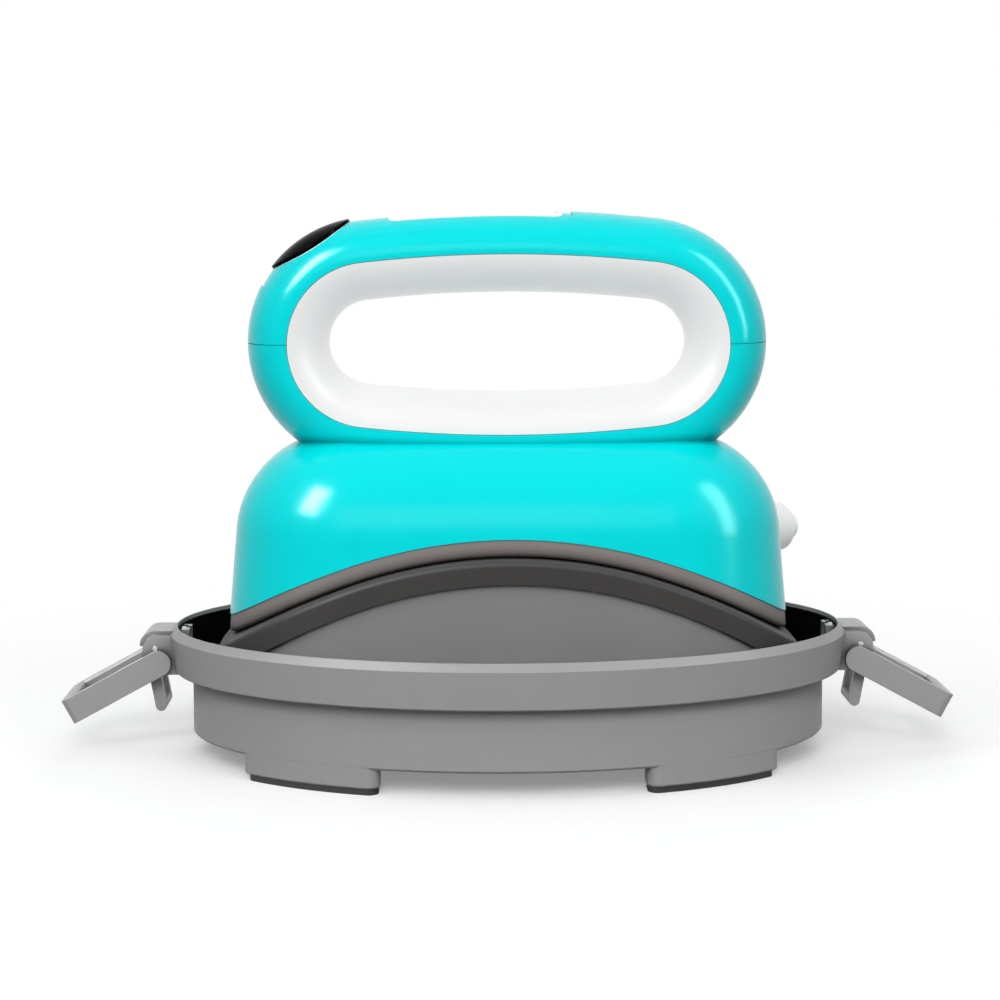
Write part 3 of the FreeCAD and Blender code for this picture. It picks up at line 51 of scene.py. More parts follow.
def lay(tree, kind, inputs=None, **settings):
    """Put a node in a tree, with its settings, and with values or sockets on its inputs."""
    node = tree.nodes.new("ShaderNode" + kind)
    for name, value in settings.items():
        setattr(node, name, value)
    for name, value in (inputs or {}).items():
        if isinstance(value, bpy.types.NodeSocket):
            tree.links.new(value, node.inputs[name])
        else:
            node.inputs[name].default_value = value
    return node


def reckon(tree, operation, first, second=0.0, third=0.0):
    """The outcome of one sum on values or sockets."""
    node = lay(tree, "Math", {0: first, 1: second, 2: third}, operation=operation)
    return node.outputs[0]


def blend_colors(tree, share, first, second):
    """A colour that goes from the first to the second as the share goes from 0 to 1."""
    node = lay(tree, "Mix", {0: share, 6: first, 7: second}, data_type="RGBA")
    return node.outputs[2]


def start_group(name, inputs, outputs):
    """A shader node group with named sockets.

    Each input has a kind and a first value, and each output has a kind.
    """
    group = bpy.data.node_groups.new(name, "ShaderNodeTree")
    for label, (kind, value) in inputs.items():
        socket = group.interface.new_socket(
            name=label, in_out="INPUT", socket_type="NodeSocket" + kind
        )
        socket.default_value = value
    for label, kind in outputs.items():
        group.interface.new_socket(
            name=label, in_out="OUTPUT", socket_type="NodeSocket" + kind
        )
    return group, group.nodes.new("NodeGroupInput").outputs, group.nodes.new("NodeGroupOutput")


def finish_group(group, end, results):
    """Feed a group's outputs."""
    for label, socket in results.items():
        group.links.new(socket, end.inputs[label])


def make_moulded_grain():
    """Clouds in the colour, patches in the gloss, and a fine raised grain over rounded edges."""
    gloss_of_clouds = 0.12
    gloss_of_grain = 0.05
    group, given, end = start_group(
        "moulded_grain",
        {
            "Color": ("Color", (0.5, 0.5, 0.5, 1.0)),
            "Roughness": ("Float", 0.5),
            "Grains per Metre": ("Float", 3000.0),
            "Grain Depth": ("Float", 0.1),
            "Clouds": ("Float", 0.06),
            "Edge Radius": ("Float", 0.0002),
        },
        {"Color": "Color", "Roughness": "Float", "Normal": "Vector"},
    )
    place = lay(group, "TexCoord").outputs["Object"]
    clouds = lay(group, "TexNoise", {"Vector": place, "Scale": 38.0, "Detail": 4.0})
    swing = reckon(group, "SUBTRACT", clouds.outputs["Fac"], 0.5)
    shade = reckon(group, "MULTIPLY_ADD", swing, given["Clouds"], 1.0)
    color = lay(group, "VectorMath", {0: given["Color"], "Scale": shade}, operation="SCALE")
    grain = lay(group, "TexNoise", {"Vector": place, "Scale": given["Grains per Metre"], "Detail": 2.0})
    patches = reckon(group, "MULTIPLY_ADD", swing, gloss_of_clouds, given["Roughness"])
    fine = reckon(group, "SUBTRACT", grain.outputs["Fac"], 0.5)
    rough = reckon(group, "MULTIPLY_ADD", fine, gloss_of_grain, patches)
    rounded = lay(group, "Bevel", {"Radius": given["Edge Radius"]}, samples=4)
    raised = lay(
        group,
        "Bump",
        {
            "Strength": given["Grain Depth"],
            "Distance": 0.2 * MM,
            "Height": grain.outputs["Fac"],
            "Normal": rounded.outputs[0],
        },
    )
    finish_group(group, end, {"Color": color.outputs[0], "Roughness": rough, "Normal": raised.outputs[0]})
    return group


moulded_grain = make_moulded_grain()


def bare_material(name, specular=0.5, metallic=0.0):
    """A new material with its node tree and its shader."""
    material = bpy.data.materials.new(name)
    material.use_nodes = True
    shader = material.node_tree.nodes["Principled BSDF"]
    shader.inputs["Specular IOR Level"].default_value = specular
    shader.inputs["Metallic"].default_value = metallic
    return material, material.node_tree, shader


def place_grain(tree, shader, color, roughness, grains, depth, clouds, edge):
    """Put the moulded grain in a material and feed its shader with it."""
    surface = lay(
        tree,
        "Group",
        {
            "Color": color if isinstance(color, bpy.types.NodeSocket) else (*color, 1.0),
            "Roughness": roughness,
            "Grains per Metre": grains,
            "Grain Depth": depth,
            "Clouds": clouds,
            "Edge Radius": edge,
        },
        node_tree=moulded_grain,
    )
    tree.links.new(surface.outputs["Color"], shader.inputs["Base Color"])
    tree.links.new(surface.outputs["Roughness"], shader.inputs["Roughness"])
    tree.links.new(surface.outputs["Normal"], shader.inputs["Normal"])
    return surface


def cover(material, *names):
    """Give a material to CAD nodes, in the slots that their objects have."""
    for name in names:
        for slot in nodes[name].material_slots:
            slot.material = material


def make_foot_rubber():
    """Black rubber with a coarse dull grain."""
    material, tree, shader = bare_material("foot_rubber_black", specular=0.3)
    place_grain(
        tree, shader, (0.012, 0.012, 0.012),
        roughness=0.75, grains=2200.0, depth=0.35, clouds=0.3, edge=0.2 * MM,
    )
    return material


foot_rubber = make_foot_rubber()
cover(foot_rubber, "foot_pads")

# Tray
# The base is one moulding: collar band, bowl and four legs, in mid-grey plastic with a fine satin grain.
# Its open rim carries the latches, and its floor the stand.


def make_edge_wear_and_highlight():
    """A mask of edges, rubbed and painted as a highlight, where the true normal turns away from the
    rounded one.
    """
    group, given, end = start_group(
        "edge_wear_and_highlight",
        {"Radius": ("Float", 0.0006), "Amount": ("Float", 0.5)},
        {"Mask": "Float"},
    )
    rounded = lay(group, "Bevel", {"Radius": given["Radius"]}, samples=6)
    facing = lay(group, "NewGeometry").outputs["Normal"]
    turned = lay(group, "VectorMath", {0: rounded.outputs[0], 1: facing}, operation="DOT_PRODUCT")
    edge = lay(
        group,
        "MapRange",
        {
            "Value": turned.outputs["Value"],
            "From Min": 0.995,
            "From Max": 0.9,
            "To Min": 0.0,
            "To Max": 1.0,
        },
    )
    place = lay(group, "TexCoord").outputs["Object"]
    broken = lay(group, "TexNoise", {"Vector": place, "Scale": 260.0, "Detail": 5.0})
    patchy = lay(
        group,
        "MapRange",
        {"Value": broken.outputs["Fac"], "From Min": 0.42, "From Max": 0.62, "To Min": 0.0, "To Max": 1.0},
    )
    worn_highlit = reckon(group, "MULTIPLY", edge.outputs[0], patchy.outputs[0])
    finish_group(group, end, {"Mask": reckon(group, "MULTIPLY", worn_highlit, given["Amount"])})
    return group


def make_fine_dust():
    """A mask of thin dust: it settles where the surface faces up, in soft uneven patches."""
    group, given, end = start_group("fine_dust", {"Amount": ("Float", 0.1)}, {"Mask": "Float"})
    facing = lay(group, "SeparateXYZ", {0: lay(group, "NewGeometry").outputs["Normal"]})
    level = lay(
        group,
        "MapRange",
        {"Value": facing.outputs["Z"], "From Min": 0.5, "From Max": 1.0, "To Min": 0.0, "To Max": 1.0},
    )
    place = lay(group, "TexCoord").outputs["Object"]
    drift = lay(group, "TexNoise", {"Vector": place, "Scale": 90.0, "Detail": 6.0})
    settled = reckon(group, "MULTIPLY", level.outputs[0], drift.outputs["Fac"])
    finish_group(group, end, {"Mask": reckon(group, "MULTIPLY", settled, given["Amount"])})
    return group


edge_wear_and_highlight = make_edge_wear_and_highlight()
fine_dust = make_fine_dust()
DUST_COLOR = (0.5, 0.49, 0.47, 1.0)
EDGE_WEAR_AND_HIGHLIGHT_REACH = 0.5 * MM


def worn_highlit_dusty_color(tree, color, worn_highlit_color, worn_highlit_share, dust):
    """A colour that goes paler on edges, for wear and as a painted highlight, and greyer under dust."""
    worn_highlit = lay(tree, "Group", {"Radius": EDGE_WEAR_AND_HIGHLIGHT_REACH, "Amount": worn_highlit_share}, node_tree=edge_wear_and_highlight)
    # Edges are painted paler, partly as wear and partly as a painted highlight.
    worn_highlit_edges = blend_colors(tree, worn_highlit.outputs["Mask"], (*color, 1.0), (*worn_highlit_color, 1.0))
    dusty = lay(tree, "Group", {"Amount": dust}, node_tree=fine_dust)
    return blend_colors(tree, dusty.outputs["Mask"], worn_highlit_edges, DUST_COLOR)


def make_tray_grey():
    """Grey satin plastic with a fine spark grain, a little paler at its edges, for wear and as a painted
    highlight.
    """
    material, tree, shader = bare_material("tray_satin_grey", specular=0.12)
    color = worn_highlit_dusty_color(tree, (0.34, 0.34, 0.34), worn_highlit_color=(0.46, 0.46, 0.46), worn_highlit_share=0.4, dust=0.04)
    place_grain(
        tree, shader, color,
        roughness=0.4, grains=3400.0, depth=0.16, clouds=0.08, edge=0.25 * MM,
    )
    return material


tray_grey = make_tray_grey()
cover(tray_grey, "base_tray")

# Liner
# A loose black bowl inside the tray keeps the heat off it.
# It is deep-drawn from sheet and has a dead matt coat.


def make_liner_black():
    """Matt black coat with hardly any shine."""
    material, tree, shader = bare_material("liner_matt_black", specular=0.02)
    place_grain(
        tree, shader, (0.0012, 0.0012, 0.0012),
        roughness=0.6, grains=2600.0, depth=0.12, clouds=0.4, edge=0.2 * MM,
    )
    return material


liner_black = make_liner_black()
cover(liner_black, "tray_liner")

# Stand
# The arched block that the hot plate rests over, moulded in grey plastic with a smooth even face.
# It is screwed down from under the tray.


def make_stand_grey():
    """Grey plastic, a shade darker and duller than the tray."""
    material, tree, shader = bare_material("stand_dull_grey", specular=0.35)
    # Its edges are painted a little paler, for wear and as a painted highlight.
    color = worn_highlit_dusty_color(tree, (0.2, 0.2, 0.2), worn_highlit_color=(0.27, 0.27, 0.27), worn_highlit_share=0.15, dust=0.03)
    place_grain(
        tree, shader, color,
        roughness=0.55, grains=3000.0, depth=0.14, clouds=0.07, edge=0.2 * MM,
    )
    return material


stand_grey = make_stand_grey()
cover(stand_grey, "stand_dome")

# Stand pad
# A sheet of dark silicone over the stand's arch takes the heat. It is moulded with a dull rubbery skin.


def make_pad_silicone():
    """Dark grey silicone that scatters a little light at its edges."""
    material, tree, shader = bare_material("pad_silicone", specular=0.15)
    shader.inputs["Sheen Weight"].default_value = 0.08
    shader.inputs["Sheen Roughness"].default_value = 0.5
    # Its edges are painted a little paler, for wear and as a painted highlight.
    color = worn_highlit_dusty_color(tree, (0.036, 0.034, 0.033), worn_highlit_color=(0.1, 0.095, 0.093), worn_highlit_share=0.4, dust=0.02)
    place_grain(
        tree, shader, color,
        roughness=0.6, grains=2400.0, depth=0.2, clouds=0.15, edge=0.35 * MM,
    )
    return material


pad_silicone = make_pad_silicone()
cover(pad_silicone, "stand_pad")

# Screws of the stand
# Four pan-head steel screws come up through the tray's floor into the stand.
# Each is rolled from plated wire: a domed head with a cross recess, and a pointed thread.
SCREW_STEPS = 40
THREAD_PITCH = 0.9 * MM
THREAD_DEPTH = 0.32 * MM
RINGS_PER_TURN = 6
SAME_CORNER_DIGITS = 7
TIP_SHARE = 0.12
TIP_LENGTH = 1.6
HEAD_RINGS = 22
HEAD_ROUNDNESS = 0.55
DOME_ROUNDNESS = 0.8
CENTRE_SHARE = 0.03
CROSS_WIDTH = 0.16
CROSS_SLOPE = 0.06
CROSS_REACH = 0.62
CROSS_END_SLOPE = 0.12
CROSS_DEPTH = 0.55
WIDE_SHARE = 0.8
HEAD_MARGIN = 1.02


def solids_of(name):
    """The points of each separate solid of a node: labels spread over shared corners until they settle."""
    mesh = nodes[name].data
    raw = np.empty(len(mesh.vertices) * 3)
    mesh.vertices.foreach_get("co", raw)
    points, corner = np.unique(
        np.round(raw.reshape(-1, 3), SAME_CORNER_DIGITS), axis=0, return_inverse=True
    )
    loops = np.empty(len(mesh.loops), dtype=int)
    mesh.loops.foreach_get("vertex_index", loops)
    faces = corner.ravel()[loops].reshape(-1, 3)
    label = np.arange(len(points))
    settled = False
    while not settled:
        spread = label.copy()
        np.minimum.at(spread, faces.ravel(), np.repeat(label[faces].min(axis=1), 3))
        settled = bool((spread == label).all())
        label = spread
    return [points[label == value] for value in np.unique(label)]


def band_faces(rings, steps, first=0):
    """Four-sided faces between rings that close on themselves, each ring with the same number of steps."""
    ring, step = np.meshgrid(np.arange(rings - 1), np.arange(steps), indexing="ij")
    after = (step + 1) % steps
    low = first + ring * steps
    high = low + steps
    return np.stack([low + step, low + after, high + after, high + step], axis=-1).reshape(-1, 4).tolist()


def fan_faces(ring_start, steps, pole, outward):
    """Three-sided faces from one ring to a pole, turned so that they face outwards."""
    step = np.arange(steps)
    after = (step + 1) % steps
    order = [step, after] if outward else [after, step]
    around = np.stack([ring_start + order[0], ring_start + order[1]], axis=-1)
    return np.hstack([around, np.full((steps, 1), pole)]).tolist()


def new_piece(name, points, faces, material, body):
    """A mesh object at the origin, smooth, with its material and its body."""
    mesh = bpy.data.meshes.new(name)
    mesh.from_pydata(np.asarray(points).tolist(), [], faces)
    mesh.shade_smooth()
    mesh.materials.append(material)
    piece = bpy.data.objects.new(name, mesh)
    bpy.context.scene.collection.objects.link(piece)
    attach(piece, body)
    return piece


def turned_form(radius, height, steps):
    """Points and faces of a form turned about Z.

    Rows of radius and height over the angle make its rings, and two poles close it.
    """
    angle = np.linspace(0, 2 * np.pi, steps, endpoint=False)
    rings = len(radius)
    points = np.stack([radius * np.cos(angle), radius * np.sin(angle), height], axis=-1).reshape(-1, 3)
    poles = np.array([[0, 0, height[0].mean()], [0, 0, height[-1].min()]])
    faces = band_faces(rings, steps)
    faces += fan_faces(0, steps, rings * steps, outward=False)
    faces += fan_faces((rings - 1) * steps, steps, rings * steps + 1, outward=True)
    return np.vstack([points, poles]), faces


def screw_form(length, shank, head, head_height):
    """A pan-head screw, tip at 0 and head up.

    The thread's radius is the core plus a triangle wave of height over the pitch less the turn.
    The head's radius and height are powers of a cosine and a sine, and its top drops in a cross
    where either side is near an axis.
    """
    angle = np.linspace(0, 2 * np.pi, SCREW_STEPS, endpoint=False)
    shank_length = length - head_height
    rows = int(shank_length / THREAD_PITCH * RINGS_PER_TURN)
    rise = np.linspace(0, shank_length, rows)[:, None]
    turn = rise / THREAD_PITCH - angle / (2 * np.pi)
    tooth = 1 - np.abs(2 * (turn - np.floor(turn)) - 1)
    point = np.clip(TIP_SHARE + rise / (TIP_LENGTH * shank), 0, 1)
    shank_radius = (shank - THREAD_DEPTH + THREAD_DEPTH * tooth) * point
    shank_rise = np.broadcast_to(rise, shank_radius.shape)
    lift = np.linspace(0, 1, HEAD_RINGS)[:, None]
    swell = np.cos(lift * np.pi / 2) ** HEAD_ROUNDNESS
    head_radius = np.broadcast_to(
        head * np.maximum(swell, CENTRE_SHARE), (HEAD_RINGS, SCREW_STEPS)
    )
    dome = shank_length + head_height * np.sin(lift * np.pi / 2) ** DOME_ROUNDNESS
    side_x = np.abs(head_radius * np.cos(angle))
    side_y = np.abs(head_radius * np.sin(angle))
    from_axis = CROSS_WIDTH * head - np.minimum(side_x, side_y)
    from_end = CROSS_REACH * head - np.maximum(side_x, side_y)
    narrow = np.clip(from_axis / (CROSS_SLOPE * head), 0, 1)
    reach = np.clip(from_end / (CROSS_END_SLOPE * head), 0, 1)
    head_rise = dome - CROSS_DEPTH * head_height * narrow * reach
    radius = np.vstack([shank_radius, head_radius])
    height = np.vstack([shank_rise, head_rise])
    return turned_form(radius, height, SCREW_STEPS)


def seated_screw(solid):
    """A finished screw in the place of a plain CAD one.

    Of the solid's three own axes, the screw's is the one along which the wide part is shortest,
    and the head is at the wide end.
    """
    middle = (solid.max(axis=0) + solid.min(axis=0)) / 2
    spread = np.linalg.eigh(np.cov((solid - solid.mean(axis=0)).T))[1].T
    best = None
    for axis in spread:
        along = (solid - middle) @ axis
        across = solid - middle - along[:, None] * axis
        centre = (across.max(axis=0) + across.min(axis=0)) / 2
        radius = np.linalg.norm(across - centre, axis=1)
        wide = radius > WIDE_SHARE * radius.max()
        share = np.ptp(along[wide]) / np.ptp(along)
        if best is None or share < best[0]:
            best = (share, axis, along, centre, radius, wide)
    axis, along, centre, radius, wide = best[1:]
    if along[wide].mean() < (along.max() + along.min()) / 2:
        axis, along = -axis, -along
    head_height = np.ptp(along[wide])
    below = along < along.max() - head_height * HEAD_MARGIN
    shank = radius[below].max()
    points, faces = screw_form(np.ptp(along), shank, radius.max(), head_height)
    helper = np.eye(3)[np.argmin(np.abs(axis))]
    side = np.cross(helper, axis)
    side /= np.linalg.norm(side)
    other = np.cross(axis, side)
    base = middle + centre + axis * along.min()
    return base + points[:, :1] * side + points[:, 1:2] * other + points[:, 2:] * axis, faces


def screw_set(name, body):
    """One piece that holds a finished screw for each solid of a screw node."""
    all_points = []
    all_faces = []
    count = 0
    for solid in solids_of(name):
        points, faces = seated_screw(solid)
        all_points.append(points)
        all_faces += [[corner + count for corner in face] for face in faces]
        count += len(points)
    points = np.vstack(all_points)
    piece = new_piece(name + "_threaded", points, all_faces, plated_steel, body)
    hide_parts(name)


def make_plated_steel():
    """Zinc-plated steel: pale metal, cloudy, with a few darker specks."""
    material, tree, shader = bare_material("plated_steel", metallic=1.0)
    place = lay(tree, "TexCoord").outputs["Object"]
    specks = lay(tree, "TexVoronoi", {"Vector": place, "Scale": 900.0})
    dark = lay(
        tree, "MapRange", {"Value": specks.outputs["Distance"], "From Min": 0.05, "From Max": 0.3}
    )
    color = blend_colors(tree, dark.outputs[0], (0.3, 0.3, 0.31, 1.0), (0.62, 0.62, 0.63, 1.0))
    place_grain(
        tree, shader, color,
        roughness=0.3, grains=4000.0, depth=0.08, clouds=0.25, edge=0.1 * MM,
    )
    return material


plated_steel = make_plated_steel()
screw_set("stand_screws", "base")

# Latches
# At each end a bracket is screwed to the rim: a hood over two ears, with a clamp tab inside the rim.
# A steel pin through the ears carries the lever and the wire-like bail, and a small stop pin sits above.
latch_sides = ("left", "right")


def make_painted_recess_shade():
    """A mask of painted shade for slots, creases and inner corners, where little of the sky is open."""
    group, given, end = start_group(
        "painted_recess_shade",
        {"Reach": ("Float", 0.006), "Amount": ("Float", 0.7)},
        {"Mask": "Float"},
    )
    open_sky = lay(group, "AmbientOcclusion", {"Distance": given["Reach"]}, samples=8)
    shut = lay(
        group,
        "MapRange",
        {
            "Value": open_sky.outputs["AO"],
            "From Min": 0.4,
            "From Max": 0.88,
            "To Min": 1.0,
            "To Max": 0.0,
        },
    )
    finish_group(group, end, {"Mask": reckon(group, "MULTIPLY", shut.outputs[0], given["Amount"])})
    return group


painted_recess_shade = make_painted_recess_shade()


def make_latch_grey():
    """The tray's grey in a tougher plastic, smoother, with edges painted paler for wear and highlight, and
    painted shade in its slots.
    """
    material, tree, shader = bare_material("latch_grey", specular=0.6)
    unshaded_grey = worn_highlit_dusty_color(tree, (0.31, 0.31, 0.31), worn_highlit_color=(0.48, 0.48, 0.48), worn_highlit_share=0.45, dust=0.04)
    # Painted shade darkens the slots and inner corners.
    painted_shade = lay(tree, "Group", {"Reach": 8.0 * MM, "Amount": 0.9}, node_tree=painted_recess_shade)
    color = blend_colors(tree, painted_shade.outputs["Mask"], unshaded_grey, (0.03, 0.03, 0.03, 1.0))
    place_grain(
        tree, shader, color,
        roughness=0.34, grains=3600.0, depth=0.12, clouds=0.08, edge=0.3 * MM,
    )
    return material


def make_pin_steel():
    """Turned steel with fine rings round the pin, along Y."""
    material, tree, shader = bare_material("pin_steel", metallic=1.0)
    place = lay(tree, "TexCoord").outputs["Object"]
    lathe = lay(
        tree,
        "TexWave",
        {"Vector": place, "Scale": 1500.0, "Distortion": 0.4},
        wave_type="BANDS",
        bands_direction="Y",
    )
    color = blend_colors(tree, lathe.outputs["Fac"], (0.4, 0.4, 0.41, 1.0), (0.6, 0.6, 0.61, 1.0))
    place_grain(
        tree, shader, color,
        roughness=0.28, grains=3000.0, depth=0.06, clouds=0.1, edge=0.1 * MM,
    )
    return material


latch_grey = make_latch_grey()
pin_steel = make_pin_steel()
for side in latch_sides:
    for piece in ("bracket", "clamp", "lever", "bail"):
        cover(latch_grey, "latch_%s_%s" % (piece, side))
    cover(pin_steel, "latch_pin_" + side, "latch_stop_" + side)
    screw_set("latch_screw_" + side, "base")

# Heat plate
# A curved cast-aluminium plate, cut to the press's outline, with a dark non-stick coat baked on it.


def make_plate_coat():
    """Dark non-stick coat over aluminium: low sheen with pale mineral flecks."""
    material, tree, shader = bare_material("plate_coat", specular=0.5, metallic=0.35)
    place = lay(tree, "TexCoord").outputs["Object"]
    flecks = lay(tree, "TexVoronoi", {"Vector": place, "Scale": 1400.0})
    fleck = lay(
        tree,
        "MapRange",
        {
            "Value": flecks.outputs["Distance"],
            "From Min": 0.12,
            "From Max": 0.2,
            "To Min": 1.0,
            "To Max": 0.0,
        },
    )
    color = blend_colors(tree, fleck.outputs[0], (0.05, 0.05, 0.052, 1.0), (0.2, 0.2, 0.2, 1.0))
    place_grain(
        tree, shader, color,
        roughness=0.42, grains=2800.0, depth=0.12, clouds=0.1, edge=0.2 * MM,
    )
    return material


plate_coat = make_plate_coat()
cover(plate_coat, "heat_plate")

# Heating element
# An etched resistance track lies between two amber films.
# The pack is bonded to the plate's back.


def make_element_film():
    """Amber film over an etched track: bands across the plate, bright where the metal is."""
    material, tree, shader = bare_material("element_film", specular=0.5, metallic=0.3)
    place = lay(tree, "TexCoord").outputs["Object"]
    track = lay(
        tree,
        "TexWave",
        {"Vector": place, "Scale": 75.0},
        wave_type="BANDS",
        bands_direction="Y",
    )
    metal = lay(
        tree, "MapRange", {"Value": track.outputs["Fac"], "From Min": 0.45, "From Max": 0.55}
    )
    color = blend_colors(tree, metal.outputs[0], (0.3, 0.12, 0.02, 1.0), (0.6, 0.42, 0.2, 1.0))
    place_grain(
        tree, shader, color,
        roughness=0.3, grains=1500.0, depth=0.1, clouds=0.15, edge=0.1 * MM,
    )
    return material


element_film = make_element_film()
cover(element_film, "heating_element")

# Insulation
# A pad of pressed ceramic wool lies over the element and keeps the heat down.
# It is cut from sheet and held by the reflector.


def make_pressed_wool():
    """Off-white pressed fibre: streaks along the sheet and a deep soft nap."""
    material, tree, shader = bare_material("pressed_wool", specular=0.1)
    place = lay(tree, "TexCoord").outputs["Object"]
    drawn = lay(tree, "Mapping", {"Vector": place, "Scale": (1.0, 6.0, 4.0)})
    fibre = lay(
        tree,
        "TexNoise",
        {"Vector": drawn.outputs[0], "Scale": 420.0, "Detail": 8.0, "Distortion": 1.5},
    )
    color = blend_colors(tree, fibre.outputs["Fac"], (0.5, 0.47, 0.4, 1.0), (0.85, 0.83, 0.78, 1.0))
    surface = place_grain(
        tree, shader, color,
        roughness=0.9, grains=1200.0, depth=0.8, clouds=0.1, edge=0.5 * MM,
    )
    raised = lay(
        tree,
        "Bump",
        {
            "Strength": 0.7,
            "Distance": 0.4 * MM,
            "Height": fibre.outputs["Fac"],
            "Normal": surface.outputs["Normal"],
        },
    )
    tree.links.new(raised.outputs[0], shader.inputs["Normal"])
    return material


pressed_wool = make_pressed_wool()
cover(pressed_wool, "insulation_pad")

# Reflector
# A thin rolled aluminium sheet closes the stack and throws the heat back down.
# Plated screws through it clamp the stack.


def make_rolled_sheet():
    """Bright rolled aluminium with fine scratches along X."""
    material, tree, shader = bare_material("rolled_aluminium", metallic=1.0)
    shader.inputs["Anisotropic"].default_value = 0.4
    place = lay(tree, "TexCoord").outputs["Object"]
    rolled = lay(tree, "Mapping", {"Vector": place, "Scale": (8.0, 700.0, 700.0)})
    lines = lay(tree, "TexNoise", {"Vector": rolled.outputs[0], "Scale": 4.0, "Detail": 3.0})
    color = blend_colors(tree, lines.outputs["Fac"], (0.62, 0.62, 0.63, 1.0), (0.8, 0.8, 0.8, 1.0))
    place_grain(
        tree, shader, color,
        roughness=0.26, grains=900.0, depth=0.05, clouds=0.1, edge=0.1 * MM,
    )
    return material


rolled_sheet = make_rolled_sheet()
cover(rolled_sheet, "heat_reflector")
screw_set("plate_screws", "press")

# Sensor and fuse
# A ceramic temperature sensor and a thermal fuse in a metal case watch the plate's heat.
# Both lie on the insulation and are held by the reflector.


def make_ceramic():
    """Pale fired ceramic with fine pits."""
    material, tree, shader = bare_material("fired_ceramic", specular=0.4)
    place_grain(
        tree, shader, (0.68, 0.64, 0.56),
        roughness=0.5, grains=1800.0, depth=0.3, clouds=0.2, edge=0.2 * MM,
    )
    return material


ceramic = make_ceramic()
cover(ceramic, "temperature_sensor")
cover(pin_steel, "thermal_fuse")

# Skirt
# The heat shield is a curved band of brown-grey high-temperature plastic.
# It is moulded to the arch and pressed into the shell's lower edge.


def make_shield_plastic():
    """Warm dark grey filled plastic, with painted shade darkening it towards the edge next to the plate.
    """
    material, tree, shader = bare_material("shield_plastic", specular=0.15)
    place = lay(tree, "TexCoord").outputs["Object"]
    flat = lay(
        tree,
        "Mapping",
        {"Vector": place, "Location": (0.0, 0.0, -arch_axis), "Scale": (1.0, 0.0, 1.0)},
    )
    reach = lay(tree, "VectorMath", {0: flat.outputs[0]}, operation="LENGTH").outputs["Value"]
    clear_of_shade = lay(
        tree,
        "MapRange",
        {"Value": reach, "From Min": arch_radius, "From Max": arch_radius + edge_shade_height},
        interpolation_type="SMOOTHSTEP",
    )
    # Painted shade darkens the band towards its edge next to the plate.
    edge_shade_color = (0.035, 0.031, 0.03, 1.0)
    unshaded_color = (0.225, 0.202, 0.192, 1.0)
    edge_shaded = blend_colors(tree, clear_of_shade.outputs[0], edge_shade_color, unshaded_color)
    place_grain(
        tree, shader, edge_shaded,
        roughness=0.5, grains=3000.0, depth=0.15, clouds=0.12, edge=0.5 * MM,
    )
    return material


arch_radius = 150.0 * MM
arch_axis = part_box("stand_pad")[1][2] - arch_radius
edge_shade_height = 5.0 * MM
shield_plastic = make_shield_plastic()
cover(shield_plastic, "heat_shield_skirt")

# Body shell
# The teal dome is injection moulded in one hollow piece and polished.
# It is held by screws from inside.


def make_gloss_teal():
    """Polished teal plastic, with painted shade in the crease at the handle, and a teal-tinted shine."""
    material, tree, shader = bare_material("gloss_teal", specular=0.14)
    shader.inputs["Specular Tint"].default_value = (0.5, 1.0, 1.0, 1.0)
    # Painted shade darkens the crease at the handle and the teal next to the skirt.
    painted_shade = lay(tree, "Group", {"Reach": 5.0 * MM, "Amount": 0.6}, node_tree=painted_recess_shade)
    open_teal = (0.0, 0.73, 0.76, 1.0)
    crease_shade_teal = (0.0, 0.16, 0.18, 1.0)
    color = blend_colors(tree, painted_shade.outputs["Mask"], open_teal, crease_shade_teal)
    place_grain(
        tree, shader, color,
        roughness=0.2, grains=260.0, depth=0.02, clouds=0.035, edge=0.15 * MM,
    )
    return material


gloss_teal = make_gloss_teal()
cover(gloss_teal, "body_shell")
screw_set("body_screws", "press")

# Cord gland
# A stepped white strain-relief socket for the cord is moulded in soft plastic.
# It is pressed through the shell's corner.


def make_satin_white(name, roughness, grains, depth):
    """White satin plastic with a fine grain, and a slight glow that is fitted to these lamps."""
    material, tree, shader = bare_material(name, specular=0.4)
    shader.inputs["Emission Color"].default_value = (1.0, 1.0, 1.0, 1.0)
    shader.inputs["Emission Strength"].default_value = 0.08
    place_grain(
        tree, shader, (0.9, 0.9, 0.9),
        roughness=roughness, grains=grains, depth=depth, clouds=0.02, edge=0.2 * MM,
    )
    return material


gland_white = make_satin_white("gland_white", roughness=0.4, grains=2600.0, depth=0.1)
cover(gland_white, "cord_gland")

# Boards and their parts
# The power board hangs under the dome, and the key board and display board sit in the handle.
# They are glass-fibre boards with etched copper under green lacquer, with moulded parts on them.


def make_board_green():
    """Green lacquer with raised square-cornered tracks."""
    material, tree, shader = bare_material("board_green", specular=0.5)
    place = lay(tree, "TexCoord").outputs["Object"]
    tracks = lay(
        tree,
        "TexBrick",
        {
            "Vector": place,
            "Color1": (0.015, 0.12, 0.045, 1.0),
            "Color2": (0.02, 0.15, 0.055, 1.0),
            "Mortar": (0.06, 0.3, 0.1, 1.0),
            "Scale": 190.0,
            "Mortar Size": 0.06,
        },
    )
    surface = place_grain(
        tree, shader, tracks.outputs["Color"],
        roughness=0.3, grains=2000.0, depth=0.05, clouds=0.1, edge=0.1 * MM,
    )
    raised = lay(
        tree,
        "Bump",
        {
            "Strength": 0.4,
            "Distance": 0.05 * MM,
            "Height": tracks.outputs["Fac"],
            "Normal": surface.outputs["Normal"],
        },
    )
    tree.links.new(raised.outputs[0], shader.inputs["Normal"])
    return material


def make_case_plastic(name, color, roughness):
    """Moulded case of an electric part."""
    material, tree, shader = bare_material(name, specular=0.4)
    place_grain(
        tree, shader, color,
        roughness=roughness, grains=2800.0, depth=0.2, clouds=0.15, edge=0.25 * MM,
    )
    return material


